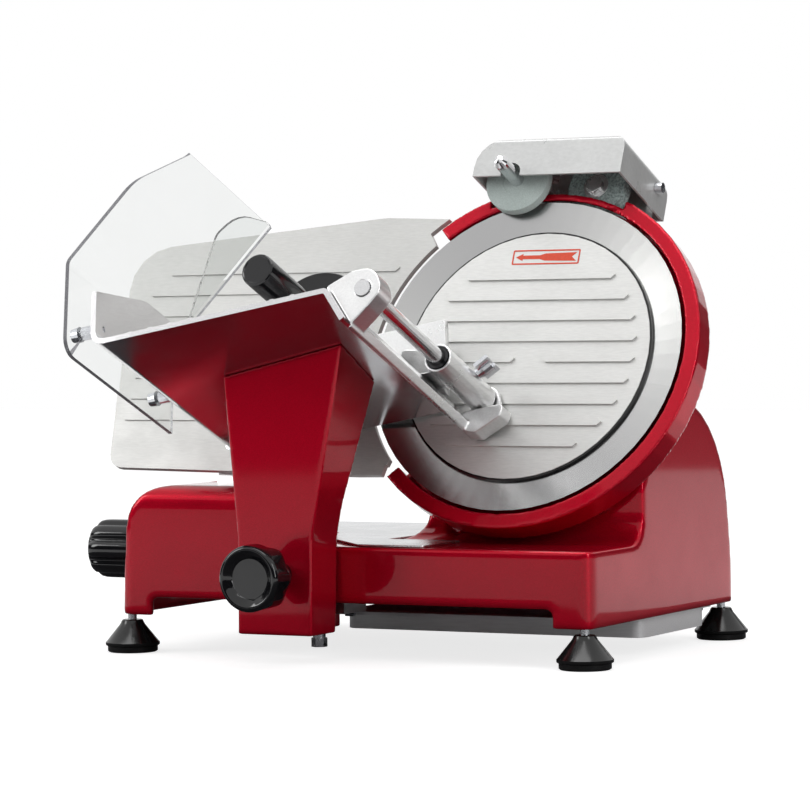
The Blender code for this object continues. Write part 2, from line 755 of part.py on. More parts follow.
def add_guide_seats(casting):
    """Blind seats for the carriage guide and support bar, and lugs under the roof for the gauge rod."""
    span = BASE_RIGHT - BASE_LEFT - 0.004
    drill(casting, GUIDE_RADIUS + SEAT, span, (BASE_LEFT + 0.002, GUIDE_Y, GUIDE_Z), "right", slicer, 20)
    half = SUPPORT_SIZE / 2 + SEAT
    low = (BASE_LEFT + 0.002, SUPPORT_Y - half, SUPPORT_Z - half)
    high = (BASE_RIGHT - 0.002, SUPPORT_Y + half, SUPPORT_Z + half)
    cut(casting, box("support seat", low, high, slicer))
    roof = HUMP_TOP - 0.6 * BASE_WALL
    for near, far in (GAUGE_LUG_NEAR, GAUGE_LUG_FAR):
        middle = (near + far) / 2
        top = (roof - KNIFE_HEIGHT + middle * math.sin(KNIFE_TILT)) / math.cos(KNIFE_TILT)
        low = (GAUGE_BRACKET_X - LUG_HALF, near, -GAUGE_ROD_DROP - LUG_HALF)
        high = (GAUGE_BRACKET_X + LUG_HALF, far, top)
        join(casting, box("gauge lug", low, high, knife_frame))
    start = (GAUGE_BRACKET_X, GAUGE_LUG_NEAR[0] + 0.003, -GAUGE_ROD_DROP)
    length = GAUGE_LUG_FAR[1] - GAUGE_LUG_NEAR[0] - 0.006
    drill(casting, GAUGE_ROD_RADIUS + SEAT, length, start, "back", knife_frame)


def add_pan_posts(casting):
    """Two posts for the bottom cover, one under the deck and one on the right wall."""
    for x, y in PAN_POSTS:
        half = POST_HALF
        top = DECK_TOP - BASE_WALL / 2 if x < 0 else DECK_TOP
        right = BASE_RIGHT - BASE_WALL / 2 if x > 0 else x + half
        join(casting, box("pan post", (x - half, y - half, BASE_BOTTOM), (right, y + half, top), slicer))
        drill(casting, PAN_SCREW_HOLE, 0.012, (x, y, BASE_BOTTOM - 0.001), "up", slicer)


def foot_places():
    left = BASE_LEFT + FOOT_INSET_LEFT
    right = BASE_RIGHT - FOOT_INSET
    front = BASE_FRONT + FOOT_INSET
    back = BASE_BACK - FOOT_INSET
    return [
        ("foot_front_left", left, front),
        ("foot_front_right", right, front),
        ("foot_back_left", left, back),
        ("foot_back_right", right, back),
    ]


def feet():
    neck = FOOT_HEIGHT - 0.004
    profile = [
        (0, FOOT_HEIGHT + 0.010),
        (FOOT_STUD_RADIUS, FOOT_HEIGHT + 0.010),
        (FOOT_STUD_RADIUS, neck),
        (0.0075, neck),
        (0.0078, neck - 0.002),
        (FOOT_RADIUS + FOOT_FLARE, 0.0075),
        (FOOT_RADIUS + FOOT_FLARE, 0.0058),
        (FOOT_RADIUS, 0.0045),
        (FOOT_RADIUS, 0),
        (0, 0),
    ]
    for name, x, y in foot_places():
        turned(name, profile, (x, y, 0), "up", slicer, RUBBER, 18)


def bottom_cover():
    """A sheet pan under the motor, with a rim at its front and back that is screwed to the posts."""
    top = BASE_BOTTOM - SEAT
    tub = rounded(
        [
            (PAN_LEFT, PAN_FRONT, 0.010),
            (PAN_RIGHT, PAN_FRONT, 0.010),
            (PAN_RIGHT, PAN_BACK, 0.010),
            (PAN_LEFT, PAN_BACK, 0.010),
        ],
        3,
    )
    pan = prism("bottom_cover", tub, top - PAN_DROP, top, PLAN_VIEW, slicer, SHEET)
    rim = rounded(
        [
            (PAN_LEFT, PAN_FRONT - PAN_RIM, 0.006),
            (PAN_RIGHT, PAN_FRONT - PAN_RIM, 0.006),
            (PAN_RIGHT, PAN_BACK + PAN_RIM, 0.006),
            (PAN_LEFT, PAN_BACK + PAN_RIM, 0.006),
        ],
        2,
    )
    join(pan, prism("pan rim", rim, top - PAN_SHEET, top, PLAN_VIEW, slicer))
    inner = rounded(
        [
            (PAN_LEFT + PAN_SHEET, PAN_FRONT + PAN_SHEET, 0.009),
            (PAN_RIGHT - PAN_SHEET, PAN_FRONT + PAN_SHEET, 0.009),
            (PAN_RIGHT - PAN_SHEET, PAN_BACK - PAN_SHEET, 0.009),
            (PAN_LEFT + PAN_SHEET, PAN_BACK - PAN_SHEET, 0.009),
        ],
        3,
    )
    cut(pan, prism("pan hollow", inner, top - PAN_DROP + PAN_SHEET, 0.05, PLAN_VIEW, slicer))
    for name, (x, y) in zip(("cover_screw_front", "cover_screw_back"), PAN_POSTS):
        drill(pan, PAN_SCREW_HOLE, 0.05, (x, y, 0), "up", slicer)
        seat = top - PAN_SHEET - SEAT
        profile = [
            (0, BASE_BOTTOM + 0.008),
            (0.0020, BASE_BOTTOM + 0.008),
            (0.0020, seat),
            (0.0045, seat),
            (0.0040, seat - 0.0028),
            (0, seat - 0.0028),
        ]
        turned(name, profile, (x, y, 0), "up", slicer, STEEL, 16)


def receiving_tray():
    edge = HUMP_RIGHT + 0.0015
    pillar_edge = PILLAR_LEFT - PILLAR_FLARE - 0.0012
    fillet_edge = PILLAR_FRONT - PILLAR_FLARE - 0.008
    outline = rounded(
        [
            (DISH_NARROW_LEFT, BASE_FRONT + 0.004, 0.010),
            (DISH_NARROW_RIGHT, BASE_FRONT + 0.004, 0.004),
            (DISH_NARROW_RIGHT, fillet_edge, 0.004),
            (pillar_edge, fillet_edge, 0.004),
            (pillar_edge, BASE_BACK - BASE_DRAFT - 0.006, 0.006),
            (BASE_LEFT + 0.014, BASE_BACK - BASE_DRAFT - 0.006, 0.010),
            (BASE_LEFT + 0.014, HUMP_BACK + 0.0015, 0.003),
            (edge, HUMP_BACK + 0.0015, 0.003),
            (edge, -0.020, 0.020),
        ],
        3,
    )
    bottom = DECK_TOP + SEAT
    prism("receiving_tray", outline, bottom, bottom + DISH_SHEET, PLAN_VIEW, slicer, SHEET)


def guides():
    """The round guide and the square support bar that run the length of the base."""
    start = BASE_LEFT + 0.002 + SEAT
    length = BASE_RIGHT - BASE_LEFT - 0.004 - 2 * SEAT
    cylinder("guide_rod", GUIDE_RADIUS, length, (start, GUIDE_Y, GUIDE_Z), "right", slicer, STEEL)
    half = SUPPORT_SIZE / 2
    low = (start, SUPPORT_Y - half, SUPPORT_Z - half)
    high = (start + length, SUPPORT_Y + half, SUPPORT_Z + half)
    box("support_bar", low, high, slicer, STEEL)


def carriage_slide():
    """The block on the guide rod, with a tail that rests on the support bar."""
    top = GUIDE_Z + SLIDE_TOP
    bottom = ARM_FOOT + ARM_TONGUE + SEAT
    near = GUIDE_Y - SLIDE_HALF
    far = GUIDE_Y + SLIDE_HALF
    tail = SUPPORT_Z + SUPPORT_SIZE / 2 + SEAT
    outline = [
        (near, bottom),
        (far, bottom),
        (far, tail),
        (SUPPORT_Y + 0.006, tail),
        (SUPPORT_Y + 0.006, tail + 0.010),
        (far, tail + 0.010),
        (far, top),
        (near, top),
    ]
    block = prism("carriage_slide", outline, ARM_LEFT, ARM_RIGHT, SIDE_VIEW, carriage, ALUMINIUM)
    start = (ARM_LEFT - 0.01, GUIDE_Y, GUIDE_Z)
    drill(block, GUIDE_RADIUS + RUNNING_FIT, 0.1, start, "right", carriage, 24)
    drill(block, ARM_BOLT_SHANK + RUNNING_FIT, 0.011, (ARM_BOLT_X, GUIDE_Y, bottom - 0.002), "up", carriage)


def carriage_arm():
    """The cast arm: its front and side outlines meet in one form, hollowed from behind."""
    tall = KNIFE_HEIGHT + 0.04
    front = rounded(
        [
            (ARM_LEFT, ARM_FOOT),
            (ARM_RIGHT, ARM_FOOT),
            (ARM_RIGHT + 0.001, ARM_WAIST, 0.060),
            (ARM_RIGHT + ARM_WIDEN_RIGHT, tall),
            (ARM_LEFT - ARM_WIDEN_LEFT, tall),
            (ARM_LEFT + 0.0005, ARM_WAIST, 0.060),
        ],
        4,
    )
    side = rounded(
        [
            (ARM_FRONT, ARM_FOOT),
            (ARM_BACK, ARM_FOOT),
            (ARM_THROAT, ARM_THROAT_HEIGHT, 0.050),
            (ARM_THROAT + ARM_LEAN, KNIFE_HEIGHT - 0.014),
            (ARM_THROAT + ARM_LEAN, tall),
            (ARM_FRONT, tall),
        ],
        4,
    )
    arm = prism("carriage_arm", front, ARM_FRONT, -0.06, FRONT_VIEW, carriage, RED)
    keep_common(arm, prism("arm side", side, -0.3, 0.1, SIDE_VIEW, carriage))
    under = TRAY_FLOOR - TRAY_SHEET - SEAT
    cut(arm, box("arm top", (-0.4, -0.4, under), (0.2, 0.2, 0.2), tray_frame))
    tongue_low = (ARM_TONGUE_LEFT, ARM_FRONT + 0.010, ARM_FOOT)
    tongue_high = (ARM_TONGUE_RIGHT, GUIDE_Y + SLIDE_HALF, ARM_FOOT + ARM_TONGUE)
    join(arm, box("arm tongue", tongue_low, tongue_high, carriage))
    pocket = [
        (ARM_LEFT + ARM_WALL, ARM_FOOT + 0.018),
        (ARM_RIGHT - ARM_WALL, ARM_FOOT + 0.018),
        (ARM_RIGHT - ARM_WALL, ARM_WAIST),
        (ARM_RIGHT + 0.0040, ARM_WAIST + 0.060),
        (ARM_LEFT - 0.0020, ARM_WAIST + 0.060),
        (ARM_LEFT + ARM_WALL, ARM_WAIST),
    ]
    cut(arm, prism("arm pocket", pocket, ARM_FRONT + ARM_FACE, -0.05, FRONT_VIEW, carriage))
    drill(arm, LOCK_STUD_RADIUS + RUNNING_FIT, 0.020, (LOCK_X, ARM_FRONT - 0.002, LOCK_Z), "back", carriage)
    drill(arm, ARM_BOLT_SHANK + RUNNING_FIT, 0.030, (ARM_BOLT_X, GUIDE_Y, ARM_FOOT - 0.010), "up", carriage)


def arm_bolt():
    """The hexagon bolt that holds the slide block from below, over a round distance collar."""
    top = ARM_FOOT - SEAT
    low = top - ARM_BOLT_COLLAR - ARM_BOLT_HEAD
    bolt = cylinder(
        "arm_bolt", ARM_BOLT_RADIUS, ARM_BOLT_HEAD, (ARM_BOLT_X, GUIDE_Y, low), "up", carriage, STEEL, 6
    )
    collar = [
        (0, ARM_BOLT_COLLAR + ARM_BOLT_HEAD),
        (ARM_BOLT_RADIUS, ARM_BOLT_COLLAR + ARM_BOLT_HEAD),
        (ARM_BOLT_RADIUS, ARM_BOLT_COLLAR + ARM_BOLT_HEAD - 0.002),
        (ARM_BOLT_RADIUS - 0.0012, ARM_BOLT_COLLAR + ARM_BOLT_HEAD - 0.002),
        (ARM_BOLT_RADIUS - 0.0012, ARM_BOLT_HEAD - 0.001),
        (0, ARM_BOLT_HEAD - 0.001),
    ]
    join(bolt, turned("arm bolt collar", collar, (ARM_BOLT_X, GUIDE_Y, low), "up", carriage, None, 20))
    start = (ARM_BOLT_X, GUIDE_Y, top - 0.004)
    length = ARM_BOLT_LENGTH - ARM_BOLT_COLLAR
    join(bolt, cylinder("arm bolt shank", ARM_BOLT_SHANK, length, start, "up", carriage, None, 16))


def lock_knob():
    """A lobed knob with a dished face, on a stud through the front of the arm."""
    grips = lobed(LOCK_KNOB_RADIUS, LOCK_GRIP_DEPTH, 7, 35)
    near = -LOCK_KNOB_LENGTH
    knob = prism("lock_knob", grips, near, near + LOCK_RIM, FRONT_VIEW, None, BLACK)
    knob.parent = carriage
    knob.location = (LOCK_X, ARM_FRONT, LOCK_Z)
    bpy.context.view_layer.update()
    neck = [
        (0, 0.030),
        (0.013, 0.030),
        (0.009, 0.006),
        (0.009, SEAT),
        (LOCK_STUD_RADIUS, SEAT),
        (LOCK_STUD_RADIUS, -0.012),
        (0, -0.012),
    ]
    join(knob, turned("lock neck", neck, (LOCK_X, ARM_FRONT, LOCK_Z), "front", carriage, None, 20))
    floor = LOCK_KNOB_LENGTH - LOCK_DISH_DEPTH
    dish = [
        (0, LOCK_KNOB_LENGTH + 0.010),
        (LOCK_DISH_RADIUS, LOCK_KNOB_LENGTH + 0.010),
        (LOCK_DISH_RADIUS, LOCK_KNOB_LENGTH - 0.0002),
        (LOCK_DISH_RADIUS - 0.005, floor),
        (0, floor),
    ]
    cut(knob, turned("lock dish", dish, (LOCK_X, ARM_FRONT, LOCK_Z), "front", carriage, None, 20))


def index_knob():
    """The lobed thickness knob on the left end, and its shaft with the cam inside the base."""
    place = (INDEX_WALL_X, INDEX_Y, INDEX_Z)
    near = INDEX_KNOB_GAP
    outline = lobed(INDEX_KNOB_RADIUS, INDEX_GRIP_DEPTH, 8, 40)
    mesh = prism_mesh("index_knob", [outline], near, near + INDEX_KNOB_LENGTH, PLAN_VIEW)
    knob = add("index_knob", mesh, slicer, BLACK, place, TOWARDS["left"])
    crown = [
        (0, near + INDEX_KNOB_LENGTH + 0.0002),
        (0.014, near + INDEX_KNOB_LENGTH - 0.0005),
        (0.019, near + INDEX_KNOB_LENGTH - 0.003),
        (0.0235, near + INDEX_KNOB_LENGTH - 0.010),
        (0.0235, near - 0.01),
        (0, near - 0.01),
    ]
    keep_common(knob, turned("index crown", crown, place, "left", slicer, None, 32))
    drill(knob, INDEX_SHAFT_RADIUS + SEAT, 0.020, place, "left", slicer)
    cam = [
        (0, 0.018),
        (INDEX_SHAFT_RADIUS, 0.018),
        (INDEX_SHAFT_RADIUS, -INDEX_CAM_NEAR),
        (INDEX_CAM_RADIUS, -INDEX_CAM_NEAR),
        (INDEX_CAM_RADIUS, -INDEX_CAM_FACE),
        (0, -INDEX_CAM_FACE),
    ]
    turned("index_shaft", cam, place, "left", slicer, STEEL, 24)


def gauge_outline():
    """The plate follows the knife on its right, and steps round the ends of the ring guard."""
    corners = [
        (GAUGE_LEFT_LOW, GAUGE_BOTTOM, 0.012),
        (GAUGE_LEFT_HIGH, GAUGE_LEFT_TOP, 0.034),
        (GAUGE_RIGHT_X, GAUGE_RIGHT_Z, 0.060),
    ]
    inner = KNIFE_RADIUS + GAUGE_KNIFE_GAP
    outer = RING_OUTER + GAUGE_RING_GAP
    top = arc(outer, math.radians(127), RING_END + math.radians(3.5), 2)
    side = arc(inner, RING_END + math.radians(4.5), 2 * math.pi + RING_START - math.radians(4), 22)
    end = side[-1]
    heel = end + Vector((-0.0015, -0.0047))
    foot = [
        heel,
        heel + Vector((-0.0015, 0)),
        end + Vector((-0.0046, -GAUGE_FOOT_STEP)),
        end + Vector((-GAUGE_FOOT_REACH, -GAUGE_FOOT_STEP - 0.0003)),
    ]
    return rounded([*corners, *top, *side, *foot], 4)


def gauge_plate():
    plate = prism("gauge_plate", gauge_outline(), -GAUGE_PROUD, GAUGE_BACK, FRONT_VIEW, knife_frame, IVORY)
    for row in range(GAUGE_RIB_COUNT):
        z = GAUGE_TOP_RIB - row * GAUGE_RIB_PITCH
        left = GAUGE_RIB_LEFT if row else GAUGE_TOP_RIB_LEFT
        right = -math.sqrt((KNIFE_RADIUS + GAUGE_RIB_MARGIN) ** 2 - z * z) - 0.004
        front = -GAUGE_PROUD - GAUGE_RIB_HEIGHT
        rib = rib_prism(f"gauge rib {row}", left, right, z, GAUGE_RIB_WIDTH, front, 0.001)
        join(plate, rib)
    start = (GAUGE_BRACKET_X, -0.01, GAUGE_SCREW_Z)
    drill(plate, GAUGE_SCREW_RADIUS + RUNNING_FIT, 0.02, start, "back", knife_frame)


def rib_prism(name, left, right, z, width, front, back):
    """A raised rib with round ends and bevelled sides."""
    half = width / 2
    outline = rounded(
        [
            (left, z - half, half * 0.95),
            (right, z - half, half * 0.95),
            (right, z + half, half * 0.95),
            (left, z + half, half * 0.95),
        ],
        1,
    )
    return prism(name, outline, front, back, FRONT_VIEW, knife_frame)


def gauge_bracket():
    """The bracket behind the gauge plate, with a block on the inclined rod and a follower at the cam."""
    x = GAUGE_BRACKET_X
    near = GAUGE_BACK + SEAT
    bottom = GAUGE_BOTTOM + 0.0015
    low = (x - GAUGE_BRACKET_HALF, near, bottom)
    high = (x + GAUGE_BRACKET_HALF, near + GAUGE_BRACKET_SHEET, bottom + GAUGE_BRACKET_HEIGHT)
    bracket = box("gauge_bracket", low, high, knife_frame, ALUMINIUM)
    neck_low = (x - GAUGE_NECK_HALF, near, -GAUGE_ROD_DROP - 0.004)
    neck_high = (x + GAUGE_NECK_HALF, near + GAUGE_NECK_SHEET, bottom + GAUGE_BRACKET_HEIGHT - 0.010)
    join(bracket, box("bracket neck", neck_low, neck_high, knife_frame))
    block_low = (x - GAUGE_BLOCK_HALF, GAUGE_BLOCK_NEAR, -GAUGE_ROD_DROP - GAUGE_BLOCK_RISE)
    block_high = (x + GAUGE_BLOCK_HALF, GAUGE_BLOCK_FAR, -GAUGE_ROD_DROP + GAUGE_BLOCK_RISE)
    join(bracket, box("bracket block", block_low, block_high, knife_frame))
    start = (x, 0, -GAUGE_ROD_DROP - GAUGE_FOLLOWER_DROP)
    reach = x - INDEX_FACE_X - SEAT
    follower = cylinder("follower", GAUGE_FOLLOWER_RADIUS, reach, start, "left", knife_frame, None, 16)
    join(bracket, follower)
    bore = (x, -0.02, -GAUGE_ROD_DROP)
    drill(bracket, GAUGE_ROD_RADIUS + RUNNING_FIT, 0.06, bore, "back", knife_frame)
    drill(bracket, 0.0024, 0.0045, (x, near - 0.001, GAUGE_SCREW_Z), "back", knife_frame)
    rod_start = (x, GAUGE_LUG_NEAR[0] + 0.003 + SEAT, -GAUGE_ROD_DROP)
    rod_length = GAUGE_LUG_FAR[1] - GAUGE_LUG_NEAR[0] - 0.006 - 2 * SEAT
    cylinder("gauge_rod", GAUGE_ROD_RADIUS, rod_length, rod_start, "back", knife_frame, STEEL)
    head = -GAUGE_PROUD - SEAT
    screw = [
        (0, -head + 0.0010),
        (0.0045, -head + 0.0006),
        (0.0045, -head),
        (0.0020, -head),
        (0.0020, -near - 0.0030),
        (0, -near - 0.0030),
    ]
    turned("gauge_screw", screw, (x, 0, GAUGE_SCREW_Z), "front", knife_frame, STEEL, 16)


def ring_guard():
    """The C-shaped ring, its back disc, the bearing boss and the socket for the sharpener post."""
    outer = arc(RING_OUTER, RING_START, RING_END, 42)
    inner = arc(RING_INNER, RING_END, RING_START, 42)
    ring = prism("ring_guard", [*outer, *inner], 0, RING_DEPTH + 0.001, FRONT_VIEW, knife_frame, RED)
    window_low = (RING_WINDOW_LEFT, -0.01, RING_INNER - RING_WINDOW_DEPTH)
    window_high = (RING_WINDOW_RIGHT, DISC_BACK, RING_OUTER + 0.05)
    cut(ring, box("ring window", window_low, window_high, knife_frame))
    start = RING_START - DISC_MARGIN
    end = RING_END + DISC_MARGIN
    gauge_side = arc(KNIFE_RADIUS - DISC_SHY, end, start + 2 * math.pi, 18)
    disc = [*arc(DISC_RADIUS, start, end, 38), *gauge_side]
    join(ring, prism("ring disc", disc, RING_DEPTH, DISC_BACK, FRONT_VIEW, knife_frame))
    lip = [
        *arc(RING_INNER + LIP_WIDTH, LIP_START, LIP_END, 10),
        *arc(RING_INNER, LIP_END, LIP_START, 10),
    ]
    join(ring, prism("ring lip", lip, 0.0002, LIP_DEPTH, FRONT_VIEW, knife_frame))
    start = (0, RING_DEPTH + 0.001, 0)
    length = DISC_THICKNESS + SPINDLE_BOSS_LENGTH
    join(ring, cylinder("spindle boss", SPINDLE_BOSS_RADIUS, length, start, "back", knife_frame))
    socket_low = (-SOCKET_HALF, RING_DEPTH + 0.001, SOCKET_TOP - SOCKET_DEPTH)
    socket_high = (SOCKET_HALF, POST_Y + 0.014, SOCKET_TOP)
    join(ring, box("post socket", socket_low, socket_high, knife_frame))
    start = (0, POST_Y, SOCKET_TOP - SOCKET_DEPTH - 0.010)
    drill(ring, POST_RADIUS + RUNNING_FIT, 0.06, start, "up", knife_frame, 20)
    drill(ring, SPINDLE_RADIUS + SEAT, 0.04, (0, 0.015, 0), "back", knife_frame, 20)
    drill(ring, SHAFT_RADIUS + 0.004, 0.02, (0, 0.015, -MOTOR_DROP), "back", knife_frame, 20)


def ring_bolts():
    for name, (x, z) in zip(("pillar_bolt_left", "pillar_bolt_right"), RING_BOLTS):
        place = (x, PILLAR_FRONT + SPOT_FACE - SEAT, z)
        bolt = cylinder(name, RING_BOLT_RADIUS, RING_BOLT_HEAD, place, "front", slicer, STEEL, 6)
        start = (x, PILLAR_FRONT - 0.003, z)
        shank = cylinder(name + " shank", RING_BOLT_SHANK, 0.014, start, "back", slicer, None, 16)
        join(bolt, shank)


def knife():
    profile = [
        (KNIFE_ROOT, -KNIFE_DISH),
        (KNIFE_RADIUS, 0),
        (KNIFE_RADIUS, -KNIFE_EDGE),
        (KNIFE_RADIUS - KNIFE_BACK_BEVEL, -KNIFE_THICKNESS),
        (KNIFE_HOLE, -KNIFE_THICKNESS),
        (KNIFE_HOLE, -KNIFE_HOLLOW),
        (KNIFE_ROOT, -KNIFE_HOLLOW),
    ]
    turned("knife", profile, (0, 0, 0), "front", knife_frame, STEEL, 60)


def drive():
    """Knife pulley on its bearing and fixed spindle, and the belt to the motor below."""
    far = PULLEY_START + PULLEY_WIDTH
    spigot = KNIFE_HOLE - SEAT
    bore = BEARING_RADIUS + SEAT
    profile = [
        (bore, -KNIFE_HOLLOW - 0.0005),
        (spigot, -KNIFE_HOLLOW - 0.0005),
        (spigot, -PULLEY_START),
        (PULLEY_RADIUS, -PULLEY_START),
        (PULLEY_RADIUS, -far),
        (bore, -far),
    ]
    turned("knife_pulley", profile, (0, 0, 0), "front", knife_frame, ALUMINIUM, 32)
    inner = SPINDLE_RADIUS + SEAT
    ring = [
        (inner, -KNIFE_HOLLOW - 0.0010),
        (BEARING_RADIUS, -KNIFE_HOLLOW - 0.0010),
        (BEARING_RADIUS, -far + 0.0005),
        (inner, -far + 0.0005),
    ]
    turned("knife_bearing", ring, (0, 0, 0), "front", knife_frame, STEEL, 24)
    hole = TIE_RADIUS + SEAT
    start = COVER_BACK + SEAT
    end = DISC_BACK + 0.010
    tube = [(hole, -start), (SPINDLE_RADIUS, -start), (SPINDLE_RADIUS, -end), (hole, -end)]
    turned("knife_spindle", tube, (0, 0, 0), "front", knife_frame, STEEL, 20)
    belt_near = PULLEY_START + 0.0015
    big = PULLEY_RADIUS + RUNNING_FIT
    small = MOTOR_PULLEY_RADIUS + RUNNING_FIT
    inside = belt_outline(big, small)
    outside = belt_outline(big + BELT_THICKNESS, small + BELT_THICKNESS)
    belt_far = belt_near + BELT_WIDTH
    prism("drive_belt", outside, belt_near, belt_far, FRONT_VIEW, knife_frame, RUBBER, [inside])
    shaft_end = MOTOR_START + MOTOR_LENGTH
    pulley = [
        (SHAFT_RADIUS + SEAT, -PULLEY_START),
        (MOTOR_PULLEY_RADIUS, -PULLEY_START),
        (MOTOR_PULLEY_RADIUS, -far),
        (SHAFT_RADIUS + SEAT, -far),
    ]
    axis = (0, 0, -MOTOR_DROP)
    turned("motor_pulley", pulley, axis, "front", knife_frame, ALUMINIUM, 24)
    shaft = [
        (0, -PULLEY_START - 0.0005),
        (SHAFT_RADIUS, -PULLEY_START - 0.0005),
        (SHAFT_RADIUS, -MOTOR_START - 0.030),
        (0, -MOTOR_START - 0.030),
    ]
    turned("motor_shaft", shaft, axis, "front", knife_frame, STEEL, 20)
    body = [
        (SHAFT_RADIUS + RUNNING_FIT, -MOTOR_START + 0.006),
        (0.016, -MOTOR_START + 0.006),
        (0.016, -MOTOR_START),
        (MOTOR_RADIUS - 0.003, -MOTOR_START),
        (MOTOR_RADIUS, -MOTOR_START - 0.003),
        (MOTOR_RADIUS, -shaft_end + 0.004),
        (MOTOR_RADIUS - 0.006, -shaft_end),
        (0.004, -shaft_end),
        (0.004, -MOTOR_START - 0.036),
        (SHAFT_RADIUS + RUNNING_FIT, -MOTOR_START - 0.036),
    ]
    turned("motor_body", body, axis, "front", knife_frame, COPPER, 20)


def belt_outline(big, small):
    """The line round both pulleys: two arcs joined by their common tangents."""
    lean = math.asin((big - small) / MOTOR_DROP)
    upper = arc(big, -lean, math.pi + lean, 26)
    lower = arc(small, math.pi + lean, 2 * math.pi - lean, 10, (0, -MOTOR_DROP))
    return [*upper, *lower]


def knife_cover():
    """The ribbed disc inside the knife, pulled back by a tie rod and a knob behind the spindle."""
    disc = circle(COVER_RADIUS, 48)
    cover = prism("knife_cover", disc, COVER_FRONT, COVER_BACK, FRONT_VIEW, knife_frame, IVORY)
    front = COVER_FRONT - COVER_RIB_HEIGHT
    for row in range(-4, 5):
        z = -COVER_RIB_SHIFT - row * COVER_RIB_PITCH
        reach = math.sqrt(COVER_RIB_REACH ** 2 - z * z)
        spans = [(-reach, reach)]
        if row == 0:
            spans = [(-reach, COVER_MIDDLE_LEFT), (COVER_MIDDLE_RIGHT, reach)]
        for k, (left, right) in enumerate(spans):
            back = COVER_FRONT + 0.001
            join(cover, rib_prism(f"cover rib {row} {k}", left, right, z, COVER_RIB_WIDTH, front, back))
    seat = COVER_BACK - COVER_SEAT
    drill(cover, TIE_RADIUS + SEAT, 0.01, (0, seat, 0), "back", knife_frame)
    near = DISC_BACK + 0.010 + SEAT
    length = near + COVER_KNOB_BORE - 0.0008 - seat - SEAT
    start = (0, seat + SEAT, 0)
    cylinder("cover_tie_rod", TIE_RADIUS, length, start, "back", knife_frame, STEEL, 16)
    outline = lobed(COVER_KNOB_RADIUS, 0.0012, 6, 30)
    mesh = prism_mesh("cover_knob", [outline], near, near + COVER_KNOB_LENGTH, FRONT_VIEW)
    knob = add("cover_knob", mesh, knife_frame, BLACK)
    drill(knob, TIE_RADIUS + SEAT, COVER_KNOB_BORE + 0.001, (0, near - 0.001, 0), "back", knife_frame)


